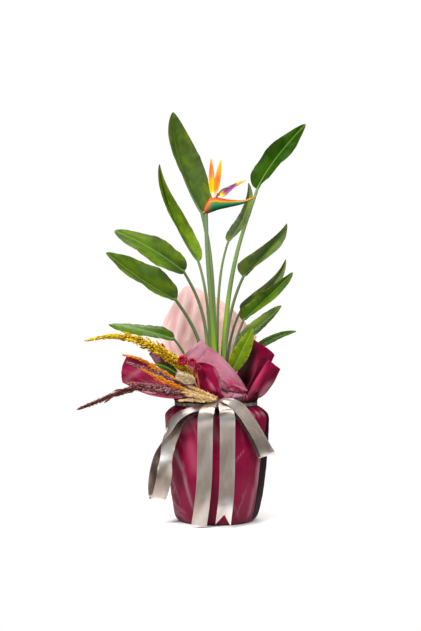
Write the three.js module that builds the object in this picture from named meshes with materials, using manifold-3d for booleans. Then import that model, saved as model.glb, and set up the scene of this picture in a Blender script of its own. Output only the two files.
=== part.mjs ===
// A gift-wrapped bird of paradise (Strelitzia) in a pot, in millimetres.
// +Z is up, the origin is the middle of the underside, and the front of the wrapping faces -Y.
// A nursery pot of soil carries the plant. A burgundy sheet is gathered round the pot, with a pink
// sheet and a folded front sheet tucked in its neck, a satin ribbon tied round it, and a spray of
// dried grasses and pods under the bow.
import * as THREE from 'three';
import { mergeVertices } from 'three/addons/utils/BufferGeometryUtils.js';
import Module from 'manifold-3d';

const wasm = await Module();
wasm.setup();

// Driving dimensions
const GAP = 0.35; // clearance between pieces that touch
const ROUND = 24; // facets round the pot, the neck and the ribbon band
const POT = { base: 86, rim: 124, rimHeight: 20, step: 7, height: 274, wall: 2.5 };
const SOIL = { top: 262, depthOfStems: 36 };
const FILM = 1.5; // thickness of the wrapping sheet where it stands in for folded film
const NECK = { radius: 106, low: 297, high: 332, bunched: 4 }; // bunched: its folds together
const RIBBON = { width: 38, thick: 1, bandLow: 298.5, bandHigh: 308.5 };
const BLADE = 1; // thickness of a leaf blade
const KNOT = { at: [0, -116.2, 309], half: [14, 8, 11.2] };
const TIE = { at: [-19.6, -120.5, 325.9], along: [-0.88, -0.22, 0.42], radius: 10.3, half: 7 };

const v3 = (p) => new THREE.Vector3(p[0], p[1], p[2]);
const degrees = (d) => (d * Math.PI) / 180;
const mix = (a, b, t) => a + (b - a) * t;

// A seeded random draw from 0 to 1
function draws(seed) {
  let state = seed;
  return () => {
    state = (state * 1664525 + 1013904223) % 4294967296;
    return state / 4294967296;
  };
}

// Solids

function solidOf(geometry) {
  const bare = geometry.index ? geometry.toNonIndexed() : geometry.clone();
  bare.deleteAttribute('normal');
  bare.deleteAttribute('uv');
  const merged = mergeVertices(bare, 1e-4);
  return new wasm.Manifold(
    new wasm.Mesh({
      numProp: 3,
      vertProperties: merged.attributes.position.array,
      triVerts: new Uint32Array(merged.index.array),
    }),
  );
}

function geometryOf(solid) {
  const mesh = solid.getMesh();
  return new THREE.BufferGeometry()
    .setAttribute('position', new THREE.BufferAttribute(new Float32Array(mesh.vertProperties), 3))
    .setIndex(new THREE.BufferAttribute(new Uint32Array(mesh.triVerts), 1));
}

// Several overlapping closed geometries as one
function fuse(geometries) {
  return geometryOf(wasm.Manifold.union(geometries.map(solidOf)));
}

function cut(geometry, tools) {
  return geometryOf(solidOf(geometry).subtract(wasm.Manifold.union(tools.map(solidOf))));
}

// Closed surfaces

function closed(positions, faces) {
  const flat = new Float32Array(positions.length * 3);
  positions.forEach((p, i) => flat.set([p.x, p.y, p.z], 3 * i));
  return new THREE.BufferGeometry()
    .setAttribute('position', new THREE.BufferAttribute(flat, 3))
    .setIndex(faces.flat());
}

// A thin sheet. surface(u, v) is its middle, and both faces are split into triangles alike.
function sheet(surface, columns, rows, thick) {
  const wide = columns + 1;
  const middle = [];
  for (let j = 0; j <= rows; j++) {
    for (let i = 0; i <= columns; i++) middle.push(surface(i / columns, j / rows));
  }
  const at = (i, j) =>
    middle[Math.min(Math.max(j, 0), rows) * wide + Math.min(Math.max(i, 0), columns)];
  const positions = [];
  for (const side of [0.5, -0.5]) {
    for (let j = 0; j <= rows; j++) {
      for (let i = 0; i <= columns; i++) {
        const across = at(i + 1, j).clone().sub(at(i - 1, j));
        const along = at(i, j + 1).clone().sub(at(i, j - 1));
        const normal = across.cross(along).normalize();
        positions.push(at(i, j).clone().addScaledVector(normal, thick * side));
      }
    }
  }
  const back = middle.length;
  const faces = [];
  for (let j = 0; j < rows; j++) {
    for (let i = 0; i < columns; i++) {
      const a = j * wide + i;
      const [b, c, d] = [a + 1, a + wide + 1, a + wide];
      faces.push([a, b, c], [a, c, d]);
      faces.push([back + a, back + c, back + b], [back + a, back + d, back + c]);
    }
  }
  const rim = [];
  for (let i = 0; i < columns; i++) rim.push(i);
  for (let j = 0; j < rows; j++) rim.push(j * wide + columns);
  for (let i = columns; i > 0; i--) rim.push(rows * wide + i);
  for (let j = rows; j > 0; j--) rim.push(j * wide);
  rim.forEach((a, k) => {
    const b = rim[(k + 1) % rim.length];
    faces.push([a, back + a, back + b], [a, back + b, b]);
  });
  return closed(positions, faces);
}

// Rings of points skinned into a closed body, with a fan over each end
function skin(rings) {
  const sides = rings[0].length;
  const positions = rings.flat();
  const faces = [];
  for (let k = 0; k < rings.length - 1; k++) {
    for (let i = 0; i < sides; i++) {
      const a = k * sides + i;
      const b = k * sides + ((i + 1) % sides);
      faces.push([a, b, b + sides], [a, b + sides, a + sides]);
    }
  }
  const last = (rings.length - 1) * sides;
  for (let i = 1; i < sides - 1; i++) {
    faces.push([0, i + 1, i], [last, last + i, last + i + 1]);
  }
  return closed(positions, faces);
}

// A round tube along a curve. radius(t) is its radius at share t of the curve, and below adds a
// straight length under its first ring.
function tube(curve, steps, sides, radius, from = 0, to = 1, below = 0) {
  const rings = [];
  let side = null;
  for (let k = 0; k <= steps; k++) {
    const t = mix(from, to, k / steps);
    const centre = curve.getPoint(t);
    const forward = curve.getTangent(t);
    if (!side) {
      side = new THREE.Vector3(1, 0, 0);
      if (Math.abs(forward.x) > 0.8) side.set(0, 1, 0);
    }
    side.addScaledVector(forward, -side.dot(forward)).normalize();
    const up = forward.clone().cross(side);
    const ring = [];
    for (let i = 0; i < sides; i++) {
      const angle = (2 * Math.PI * i) / sides;
      ring.push(
        centre
          .clone()
          .addScaledVector(side, radius(t) * Math.cos(angle))
          .addScaledVector(up, radius(t) * Math.sin(angle)),
      );
    }
    rings.push(ring);
  }
  if (below > 0) {
    const down = curve.getTangent(from).multiplyScalar(-below);
    rings.unshift(rings[0].map((p) => p.clone().add(down)));
  }
  return skin(rings);
}

const spline = (points) => new THREE.CatmullRomCurve3(points.map(v3), false, 'centripetal');

// A point at angle a (degrees, from +X round to +Y), radius r and height z
const polar = (a, r, z) =>
  new THREE.Vector3(r * Math.cos(degrees(a)), r * Math.sin(degrees(a)), z);

// Leaves

// foot is where the stalk leaves the soil, and rise how much of its height it goes straight up.
// joint, mid and tip are points on the blade's midrib. turns are the degrees by which the blade's
// upper side turns from the front to its right, at the base and at the tip. halves are the widths
// left and right of the rib, folds the degrees by which they rise from flat, tipFolds the same at
// the tip, and early how near the base each is widest (less is nearer). bow moves the stalk's lower
// half sideways, and stalk is its radius at foot and joint.
const LEAVES = [
  {
    name: 'leaf_tall_left', foot: [-5, 4], rise: 0.56, joint: [-37, 12, 800],
    mid: [-98, 22, 938], tip: [-112, -4, 1059],
    turns: [42, 0], halves: [44, 62], folds: [58, 6],
    early: [1.2, 0.75], wave: 2, waves: 2, stalk: [9, 4.2],
  },
  {
    name: 'leaf_narrow_left', foot: [-13, 26], rise: 0.56, joint: [-46, 60, 673],
    mid: [-117, 78, 800], tip: [-149, 66, 932],
    turns: [40, -15], halves: [22, 33], folds: [66, 24], tipFolds: [60, 62],
    early: [1.5, 0.8], wave: 3, waves: 1.5, stalk: [5, 3.2],
  },
  {
    name: 'leaf_upper_left', foot: [-21, 8], rise: 0.75, joint: [-82, -50, 642],
    mid: [-165, -80, 700], tip: [-259, -64, 747], bow: [14, -14],
    turns: [40, 36], halves: [44, 37], folds: [16, 24],
    early: [1.1, 0.75], wave: 4, waves: 2, stalk: [5, 3.4],
  },
  {
    name: 'leaf_lower_left', foot: [-21, -12], rise: 0.65, joint: [-101, -74, 568],
    mid: [-188, -118, 621], tip: [-276, -124, 688], bow: [12, 0],
    turns: [35, 35], halves: [34, 48], folds: [46, 12], tipFolds: [30, 42],
    early: [1.1, 0.78], wave: 4, waves: 2.5, stalk: [5.4, 3.6],
  },
  {
    name: 'leaf_low_left', foot: [-36, -4], rise: 0.56, joint: [-105, -58, 468],
    mid: [-190, -84, 496], tip: [-274, -62, 509],
    turns: [68, 62], halves: [26, 37], folds: [-10, 16], tipFolds: [-10, -20],
    early: [1.4, 0.72], wave: 3, waves: 1, stalk: [4.2, 2.8],
  },
  {
    name: 'leaf_tall_right', foot: [14, 9], rise: 0.7, joint: [109, 40, 864],
    mid: [157, 50, 943], tip: [234, 20, 1031],
    turns: [-28, -10], halves: [36, 31], folds: [12, 34], tipFolds: [12, 24],
    early: [0.9, 1.7], wave: 8, waves: 2, stalk: [7.5, 3.6],
  },
  {
    name: 'leaf_behind_flower', foot: [4, 30], rise: 0.56, joint: [33, 92, 728],
    mid: [76, 116, 801], tip: [87, 122, 888],
    turns: [-30, 10], halves: [18, 20], folds: [20, 40], tipFolds: [72, 20],
    early: [0.6, 1.3], wave: 2, waves: 1.5, stalk: [4.4, 2.8],
  },
  {
    name: 'leaf_right_upper', foot: [17, -11], rise: 0.62, joint: [69, -50, 629],
    mid: [127, -70, 691], tip: [180, -60, 766],
    turns: [-36, 40], halves: [32, 20], folds: [30, 66], tipFolds: [42, 30],
    early: [0.5, 2.2], wave: 3, waves: 1.5, stalk: [5, 3.4],
  },
  {
    name: 'leaf_right_back', foot: [22, 26], rise: 0.56, joint: [65, 58, 543],
    mid: [145, 84, 612], tip: [186, 92, 681],
    turns: [20, -20], halves: [25, 24], folds: [20, 35], tipFolds: [95, 35],
    early: [0.55, 1], wave: 3, waves: 2.5, stalk: [4.4, 3],
  },
  {
    name: 'leaf_right_middle', foot: [30, 6], rise: 0.56, joint: [70, -14, 516],
    mid: [127, -26, 572], tip: [197, -36, 642],
    turns: [-34, 20], halves: [24, 21], folds: [24, 50], tipFolds: [24, 42],
    early: [0.6, 1.7], wave: 4, waves: 2, stalk: [4.6, 3],
  },
  {
    name: 'leaf_right_low', foot: [38, 20], rise: 0.56, joint: [57, 26, 467],
    mid: [120, 38, 507], tip: [171, 24, 556],
    turns: [-50, -128], halves: [36, 20], folds: [10, 10], tipFolds: [6, 6],
    early: [1.8, 0.8], wave: 3, waves: 1.5, stalk: [4, 2.8],
  },
  {
    name: 'leaf_young_front', foot: [32, -15], rise: 0.56, joint: [39, -42, 384],
    mid: [66, -58, 441], tip: [94, -66, 499],
    turns: [-12, -12], halves: [20, 23], folds: [14, 14],
    early: [1, 1.2], wave: 1.5, waves: 1, stalk: [4, 3.2],
  },
  {
    name: 'leaf_far_right', foot: [43, 4], rise: 0.56, joint: [102, 56, 442],
    mid: [158, 66, 474], tip: [213, 70, 489],
    turns: [-70, -68], halves: [15, 22], folds: [4, 4],
    early: [1, 1], wave: 2, waves: 1.5, stalk: [4, 2.6],
  },
];

// The curve through three points, smooth at the middle one
function through(a, b, c) {
  const pull = v3(b).multiplyScalar(2).addScaledVector(v3(a), -0.5).addScaledVector(v3(c), -0.5);
  return new THREE.QuadraticBezierCurve3(v3(a), pull, v3(c));
}

// A long oval with a rounded base and a drawn-out tip, 1 at its widest
const BLADE_OUTLINE = (s) => Math.max(Math.sin(Math.PI * s ** 0.76), 0) ** 0.66;

const FRONT = [0, -1, 0];
const LEAST_HALF = 0.9; // half the width of a blade at its two ends
const WAVE_SHIFT = 0.3; // how far the right edge's waves run ahead of the left edge's

// Where a blade's upper side looks at share v of its rib
function faceOf(spec, forward, v) {
  const { face = FRONT, turns = [0, 0] } = spec;
  const front = v3(face).addScaledVector(forward, -v3(face).dot(forward)).normalize();
  const turn = degrees(mix(turns[0], turns[1], v));
  const side = forward.clone().cross(front);
  return front.multiplyScalar(Math.cos(turn)).addScaledVector(side, Math.sin(turn));
}

// A blade along a midrib. u runs across from the left edge to the right, v from the base to the tip.
function bladeSurface(rib, spec, outline) {
  const { halves, folds, tipFolds = folds, early = [1, 1], wave, waves } = spec;
  return (u, v) => {
    const forward = rib.getTangent(v);
    const up = faceOf(spec, forward, v);
    const right = forward.clone().cross(up);
    const across = 2 * u - 1;
    const half = across < 0 ? 0 : 1;
    const swell = outline(v ** early[half]);
    const reach = Math.abs(across) * (LEAST_HALF + halves[half] * swell);
    const fold = degrees(mix(folds[half], tipFolds[half], v));
    const phase = 2 * Math.PI * (waves * v + WAVE_SHIFT * half);
    const ripple = wave * Math.sin(phase) * across * across * swell;
    return rib
      .getPoint(v)
      .addScaledVector(right, Math.sign(across) * reach * Math.cos(fold))
      .addScaledVector(up, reach * Math.sin(fold) + ripple);
  };
}

function stalkCurve(leaf) {
  const { bow = [0, 0] } = leaf;
  const rib = through(leaf.joint, leaf.mid, leaf.tip);
  const start = new THREE.Vector3(leaf.foot[0], leaf.foot[1], SOIL.top - SOIL.depthOfStems);
  const end = v3(leaf.joint);
  const height = end.z - start.z;
  const arrive = end.clone().sub(start).normalize().add(rib.getTangent(0)).normalize();
  return new THREE.CubicBezierCurve3(
    start,
    start.clone().add(new THREE.Vector3(bow[0], bow[1], leaf.rise * height)),
    end.clone().addScaledVector(arrive, -0.2 * height),
    end.clone().addScaledVector(arrive, 14),
  );
}

const STALK_SIDES = 6;
const STALK_STEPS = 8;
const CLEAR = GAP + 0.25; // between a stalk and its hole
const stalkRadius = (leaf, extra) => (t) => mix(leaf.stalk[0], leaf.stalk[1], t) + extra;

function leafGeometry(leaf) {
  const rib = through(leaf.joint, leaf.mid, leaf.tip);
  const blade = sheet(bladeSurface(rib, leaf, BLADE_OUTLINE), 4, 7, BLADE);
  const stalk = tube(stalkCurve(leaf), STALK_STEPS, STALK_SIDES, stalkRadius(leaf, 0));
  return fuse([blade, stalk]);
}

// Flower

const SCAPE = {
  foot: [3, -13], neck: [-27, -30, 786], stalk: [7, 5],
};

const scapeRadius = (extra) => (t) => mix(SCAPE.stalk[0], SCAPE.stalk[1], t) + extra;

function scapeCurve() {
  const start = new THREE.Vector3(SCAPE.foot[0], SCAPE.foot[1], SOIL.top - SOIL.depthOfStems);
  const end = v3(SCAPE.neck);
  return new THREE.CubicBezierCurve3(
    start,
    start.clone().add(new THREE.Vector3(0, 0, 260)),
    end.clone().add(new THREE.Vector3(2, 2, -170)),
    end.clone().add(new THREE.Vector3(1, 0, 22)),
  );
}

// The beak: x along it, the height of its middle, half its height and half its width
const BEAK = [
  [-29, 806, 13, 5], [-19, 815, 21, 8], [-6, 818, 20, 9.5], [10, 819, 15, 9.5],
  [36, 820, 10, 8], [69, 823.5, 5.5, 5.2], [88, 830, 3.4, 3], [103, 839, 1, 1],
];
const BEAK_Y = -32;

function beakGeometry() {
  const sides = 10;
  const rings = BEAK.map(([x, z, tall, wide]) => {
    const ring = [];
    for (let i = 0; i < sides; i++) {
      const angle = (2 * Math.PI * i) / sides;
      const pinch = 1 - 0.35 * Math.cos(angle); // the two lips nearly meet on top
      ring.push(
        new THREE.Vector3(
          x + 0.25 * tall * Math.cos(angle),
          BEAK_Y - wide * pinch * Math.sin(angle) * 0.85,
          z + tall * Math.cos(angle),
        ),
      );
    }
    return ring;
  });
  return skin(rings);
}

// Sepals and the arrow-shaped petal stand in sockets on top of the beak.
const SEPALS = [
  {
    joint: [-9, -32, 840], mid: [-15, -34, 884], tip: [-12, -33, 936],
    face: [0.2, -0.95, 0], halves: [9, 9], folds: [24, 24], wave: 0, waves: 1,
  },
  {
    joint: [-7, -33, 840], mid: [7, -37, 884], tip: [14, -38, 931],
    face: [-0.3, -0.9, 0.1], halves: [9, 9], folds: [24, 24], wave: 0, waves: 1,
  },
  {
    joint: [-5, -31, 840], mid: [28, -30, 852], tip: [77, -32, 880],
    face: [-0.3, -0.75, 0.6], halves: [7, 7], folds: [30, 30], wave: 0, waves: 1,
  },
];
const SEPAL_OUTLINE = (s) => Math.max(Math.sin(Math.PI * s ** 0.9), 0) ** 0.8 * (1 - 0.2 * s);
const SEPAL_SOCKET = { at: [-7, -32], radius: 4.2, low: 826, high: 842 };
const ARROW = {
  joint: [10, -37, 846], mid: [34, -40, 860], tip: [66, -38, 876],
  face: [-0.2, -0.9, 0.35], halves: [6.5, 6.5], folds: [28, 28], wave: 0, waves: 1,
};
const ARROW_OUTLINE = (s) => (s < 0.16 ? 0.35 + 4 * s : 1.08 * (1 - s) ** 0.75 * (1 + 0.1 * s));
const ARROW_STEM = [[5, -36, 832], [5, -38, 838], [8, -39.5, 845], [13, -38.5, 848.5]];
const ARROW_SOCKET = { at: [5, -36], radius: 1.8, low: 832, high: 840 };

function cylinder(x, y, low, high, radius, sides) {
  return new THREE.CylinderGeometry(radius, radius, high - low, sides)
    .rotateX(Math.PI / 2)
    .translate(x, y, (low + high) / 2);
}

function flowerGeometries() {
  const scape = tube(scapeCurve(), STALK_STEPS, STALK_SIDES, scapeRadius(0));
  const { at: s, radius: sr, low: sl, high: sh } = SEPAL_SOCKET;
  const { at: a, radius: ar, low: al, high: ah } = ARROW_SOCKET;
  const spathe = cut(fuse([scape, beakGeometry()]), [
    cylinder(s[0], s[1], sl - GAP, sh + 10, sr + CLEAR, 6),
    cylinder(a[0], a[1], al - GAP, ah + 10, ar + CLEAR, 6),
  ]);
  const blades = SEPALS.map((sepal) =>
    sheet(bladeSurface(through(sepal.joint, sepal.mid, sepal.tip), sepal, SEPAL_OUTLINE), 2, 6, 1.4),
  );
  const sepals = fuse([...blades, cylinder(s[0], s[1], sl, sh, sr, 6)]);
  const arrow = fuse([
    sheet(bladeSurface(through(ARROW.joint, ARROW.mid, ARROW.tip), ARROW, ARROW_OUTLINE), 2, 6, 1.6),
    tube(spline(ARROW_STEM), 5, 5, () => 1.6),
  ]);
  return { spathe, sepals, arrow };
}

// Pot and soil

function lathe(profile, sides = ROUND) {
  return new THREE.LatheGeometry(
    profile.map(([r, z]) => new THREE.Vector2(r, z)),
    sides,
  ).rotateX(Math.PI / 2);
}

function potGeometry() {
  const low = FILM + GAP;
  const { base, rim, rimHeight, step, height, wall } = POT;
  const under = height - rimHeight;
  return lathe([
    [0, low], [base, low], [rim - step, under - 3], [rim, under], [rim, height],
    [rim - wall, height], [rim - wall, under + wall], [rim - step - wall, under],
    [base - wall, low + wall], [0, low + wall],
  ]);
}

function soilGeometry() {
  const low = FILM + POT.wall + 2 * GAP;
  const edge = POT.rim - POT.step - POT.wall - GAP;
  const body = lathe([
    [0, low], [POT.base - POT.wall - GAP - 0.4, low], [edge - 1.5, SOIL.top - 6],
    [edge - 8, SOIL.top - 1], [60, SOIL.top], [0, SOIL.top],
  ]);
  const holes = LEAVES.map((leaf) => hole(stalkCurve(leaf), stalkRadius(leaf, CLEAR), STALK_STEPS));
  holes.push(hole(scapeCurve(), scapeRadius(CLEAR), STALK_STEPS));
  return cut(body, holes);
}

// The plain hole that a stalk stands in: the stalk's first stretch, a little wider and deeper
function hole(curve, radius, steps) {
  return tube(curve, 2, STALK_SIDES, radius, 0, 2 / steps, GAP);
}

// Wrapping

// Radius of the wrapped pot by height
const WRAP_PROFILE = [
  [92, 0], [104, 8], [115, 52], [126, 165], [132.5, 250], [131.5, 270], [124, 284],
  [NECK.radius, NECK.low], [NECK.radius, NECK.high],
];
// Soft pleats that the sheet makes over the pot: angle, depth in mm
const PLEATS = [[212, 2.4], [238, -2], [292, 1.6], [318, -2.6], [0, 7], [40, -2], [88, 2], [140, -2.2]];

function pleat(angle, share) {
  let depth = 0;
  for (const [at, deep] of PLEATS) {
    const away = ((angle - at + 540) % 360) - 180;
    depth += deep * Math.exp(-((away / 13) ** 2));
  }
  return depth * share;
}

function wrapBody() {
  const ring = (r, z, share) =>
    Array.from({ length: ROUND }, (_, i) => {
      const angle = (360 * i) / ROUND;
      return polar(angle, r + pleat(angle, share), z);
    });
  const share = (z) => (z < 5 || z > 290 ? 0 : Math.sin((Math.PI * Math.min(z, 250)) / 330));
  const outside = WRAP_PROFILE.map(([r, z]) => ring(r, z, share(z)));
  const inside = WRAP_PROFILE.map(([r, z], k) => {
    if (k === 0) return ring(r - 2.5, FILM, 0);
    return ring(r - (z < NECK.low ? FILM : NECK.bunched), z, share(z));
  }).reverse();
  return skin([...outside, ...inside]);
}

// A flap of the sheet: rows of points from the neck outwards, each row from one edge to the other.
// The surface is a smooth curve through each row, and from row to row.
function flapSurface(rows) {
  const curves = rows.map((row) => spline(row));
  return (u, v) => {
    const points = curves.map((c) => c.getPoint(u));
    const up = new THREE.CatmullRomCurve3(points, false, 'centripetal');
    return up.getPoint(v);
  };
}

// The first two rows of a flap stand in the wall of the neck, from angle a to angle b.
function neckRows(a, b, radius) {
  const row = (z) => [0, 1, 2, 3, 4].map((k) => polar(mix(a, b, k / 4), radius, z).toArray());
  return [row(318), row(331.2)];
}

const NECK_MIDDLE = NECK.radius - 2.2;

const FLAPS = {
  left: [
    ...neckRows(160, 230, NECK_MIDDLE),
    [[-124, 22, 366], [-132, -6, 356], [-133, -40, 344], [-121, -75, 332], [-98, -92, 320]],
    [[-170, 2, 402], [-182, -20, 384], [-187, -48, 362], [-183, -78, 341], [-172, -99, 330]],
    [[-229, -30, 429], [-237, -42, 412], [-241, -56, 394], [-241, -70, 376], [-238, -82, 361]],
  ],
  backLeft: [
    ...neckRows(98, 154, NECK_MIDDLE),
    [[-10, 122, 378], [-42, 122, 374], [-74, 108, 372], [-102, 84, 372], [-122, 50, 376]],
    [[-4, 136, 430], [-44, 138, 436], [-88, 124, 436], [-126, 88, 432], [-150, 38, 424]],
    [[2, 146, 462], [-46, 150, 478], [-100, 134, 474], [-146, 84, 456], [-178, 18, 440]],
  ],
  backRight: [
    ...neckRows(42, 92, NECK_MIDDLE),
    [[88, 76, 366], [72, 96, 370], [50, 110, 374], [26, 119, 376], [2, 121, 378]],
    [[104, 90, 396], [86, 112, 416], [60, 128, 426], [32, 136, 430], [10, 136, 426]],
    [[112, 100, 408], [96, 126, 442], [70, 142, 466], [38, 150, 464], [18, 148, 446]],
  ],
  right: [
    ...neckRows(-48, 30, NECK_MIDDLE - 0.5),
    [[82, -80, 356], [106, -54, 360], [118, -20, 364], [117, 16, 370], [103, 46, 372]],
    [[98, -64, 392], [123, -44, 398], [140, -16, 406], [136, 16, 418], [110, 38, 422]],
    [[116, -52, 424], [138, -34, 426], [152, -12, 428], [132, 6, 447], [98, 22, 469]],
  ],
  rightFront: [
    ...neckRows(-46, -26, NECK_MIDDLE + 0.5),
    [[88, -88, 350], [97, -85, 348], [105, -80, 342], [110, -74, 333], [112, -66, 322]],
    [[110, -82, 386], [120, -80, 380], [130, -75, 370], [137, -68, 361], [141, -59, 351]],
    [[133, -72, 420], [141, -71, 413], [149, -67, 406], [157, -60, 400], [164, -52, 394]],
  ],
};

function burgundySheet() {
  const flaps = Object.values(FLAPS).map((rows) => sheet(flapSurface(rows), 6, 5, 1.1));
  return fuse([wrapBody(), ...flaps]);
}

const INNER_SHEET = NECK.radius - NECK.bunched - 2.3;

// The rows of a sheet that stands inside the neck, from angle a to angle b
const innerRows = (a, b) =>
  [307, 340].map((z) =>
    [0, 1, 2, 3, 4, 5].map((k) => polar(mix(a, b, k / 5), INNER_SHEET, z).toArray()));

const FRONT_SHEET = [
  ...innerRows(-131, -55),
  [[-76, -92, 372], [-50, -108, 376], [-20, -114, 372], [10, -114, 366], [40, -106, 352], [68, -92, 340]],
  [[-80, -104, 410], [-50, -112, 424], [-18, -118, 412], [12, -119, 398], [46, -110, 368], [74, -93, 341]],
  [[-83, -112, 434], [-41, -112, 467], [-14, -118, 448], [13, -120, 429], [50, -112, 387], [80, -95, 343]],
];

const PINK_SHEET = [
  ...innerRows(172, 48),
  [[-112, 28, 396], [-94, 74, 420], [-46, 100, 432], [16, 104, 430], [58, 94, 414], [80, 80, 392]],
  [[-136, 36, 452], [-112, 78, 500], [-56, 106, 522], [14, 112, 508], [68, 104, 466], [94, 90, 430]],
  [
    [-152, 44, 468], [-136, 76, 522], [-115, 92, 560], [-79, 104, 610], [-37, 112, 598],
    [14, 116, 572], [56, 110, 538], [110, 94, 474],
  ],
];

// Ribbon

function ringBand() {
  const { bandLow, bandHigh, thick } = RIBBON;
  const inner = NECK.radius + 0.5;
  return lathe([
    [inner, bandLow], [inner + thick, bandLow], [inner + thick, bandHigh], [inner, bandHigh],
    [inner, bandLow],
  ]).rotateZ(Math.PI / 2);
}

// A ribbon along its middle line. Each station is a point, where its face looks, and half its width.
function ribbonSurface(stations) {
  const line = spline(stations.map((s) => s[0]));
  const count = stations.length - 1;
  return (u, v) => {
    const k = Math.min(Math.floor(v * count), count - 1);
    const t = v * count - k;
    const face = v3(stations[k][1]).lerp(v3(stations[k + 1][1]), t);
    const half = mix(stations[k][2], stations[k + 1][2], t);
    const forward = line.getTangent(v);
    const across = face.cross(forward).normalize();
    return line.getPoint(v).addScaledVector(across, (2 * u - 1) * half);
  };
}

const HALF = RIBBON.width / 2;
const TAILS = [
  [
    [[-1, -121, 316], [-0.1, -0.6, 0.8], 6], [[-10, -134, 310], [-0.1, -0.65, 0.75], 11.5],
    [[-18.5, -148, 301], [0, -0.65, 0.75], 16], [[-24, -156, 290], [0, -0.8, 0.6], 18.5],
    [[-26.5, -158, 277], [0, -1, 0.1], HALF], [[-27.5, -152, 250], [0, -1, -0.1], HALF],
    [[-28, -143, 205], [0, -1, -0.1], HALF], [[-30, -138, 120], [0, -1, 0], HALF],
    [[-36, -138, 55], [0, -1, 0], HALF], [[-43, -137.5, 7], [0, -1, 0], HALF],
  ],
  [
    [[6, -120, 318], [0.1, -0.6, 0.8], 6.5], [[12.5, -133, 312], [0.1, -0.65, 0.75], 9],
    [[19, -147, 303], [0, -0.65, 0.75], 13], [[25, -156, 291.5], [0, -0.8, 0.6], 17.5],
    [[27.5, -158, 278], [0, -1, 0.1], HALF], [[28, -152, 250], [0, -1, -0.1], HALF],
    [[28, -143, 205], [0, -1, -0.1], HALF], [[27, -138, 120], [0, -1, 0], HALF],
    [[25, -139, 80], [0, -1, -0.1], HALF], [[22.5, -142, 55], [0, -1, 0.15], HALF],
    [[17, -139.5, 8], [0, -1, 0.1], HALF],
  ],
];
const LOOPS = [
  [
    [[-3, -118, 315], [-0.1, -0.4, 0.92], 7], [[-20, -121, 308], [-0.1, -0.35, 0.94], 12],
    [[-43, -124, 300.5], [-0.1, -0.3, 0.95], 16], [[-72, -126, 291.5], [-0.12, -0.36, 0.93], 18],
    [[-97, -123, 277], [-0.4, -0.5, 0.75], HALF], [[-117, -113, 251], [-0.75, -0.5, 0.4], HALF],
    [[-130, -102, 225], [-0.95, 0.05, 0.15], HALF], [[-141, -92, 186], [-0.75, 0.65, -0.1], HALF],
    [[-150, -86, 140], [-0.45, 0.88, -0.1], HALF], [[-153.5, -86, 96], [-0.15, 0.95, -0.2], HALF],
    [[-151, -92, 72], [0, 0.6, -0.8], HALF], [[-146, -101, 69], [0, -0.5, -0.85], HALF],
    [[-140, -108, 84], [0, -0.95, -0.3], HALF], [[-131.5, -114, 122], [0.1, -1, 0], HALF],
    [[-126, -118, 168], [-0.55, -0.8, 0.15], HALF], [[-119, -116, 210], [-0.3, -0.9, 0.25], HALF],
    [[-107, -113, 241], [-0.2, -0.8, 0.5], HALF], [[-96, -112, 259], [-0.3, -0.6, 0.75], 18],
    [[-77, -115, 276], [-0.2, -0.45, 0.88], 17], [[-52, -118, 288], [-0.1, -0.35, 0.93], 14],
    [[-24, -118, 300], [-0.1, -0.4, 0.9], 11], [[-3, -117, 311], [-0.1, -0.6, 0.8], 8],
  ],
  [
    [[4, -121, 316], [0.1, -0.6, 0.8], 6], [[14, -129, 320], [0.1, -0.6, 0.8], 9],
    [[30, -136, 317.5], [0.2, -0.65, 0.75], 13], [[46, -138.5, 309], [0.3, -0.7, 0.65], 17],
    [[61, -136, 296], [0.4, -0.75, 0.5], HALF], [[84, -125, 265], [0.45, -0.8, 0.35], HALF],
    [[108, -110, 224], [0.5, -0.8, 0.25], HALF], [[125, -98, 190], [0.5, -0.85, -0.1], HALF],
    [[131, -90, 176], [0.3, -0.2, -1], HALF], [[121, -80, 180], [-0.4, 0.85, -0.2], HALF],
    [[104, -89, 212], [-0.35, 0.85, -0.3], HALF], [[82, -108, 256], [-0.45, 0.8, -0.35], HALF],
    [[56, -124, 289], [-0.35, 0.8, -0.5], HALF], [[31, -130, 307], [-0.2, 0.7, -0.7], 15],
    [[12, -125, 313], [-0.1, 0.8, -0.6], 10], [[4, -118, 312], [0, 0.9, -0.5], 7],
  ],
];

function knotGeometry() {
  return new THREE.SphereGeometry(1, 8, 6)
    .scale(...KNOT.half)
    .translate(...KNOT.at);
}

function bowGeometry() {
  const strip = (stations) =>
    sheet(ribbonSurface(stations), 2, stations.length - 1, RIBBON.thick);
  const tails = TAILS.map(strip);
  const loops = LOOPS.map(strip);
  const [x, y, z] = TAILS[1].at(-1)[0];
  const notch = new THREE.CylinderGeometry(11, 11, 20, 3).rotateY(Math.PI).translate(x, y, z);
  return fuse([knotGeometry(), cut(tails[1], [notch]), tails[0], ...loops]);
}

// Dried spray

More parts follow.
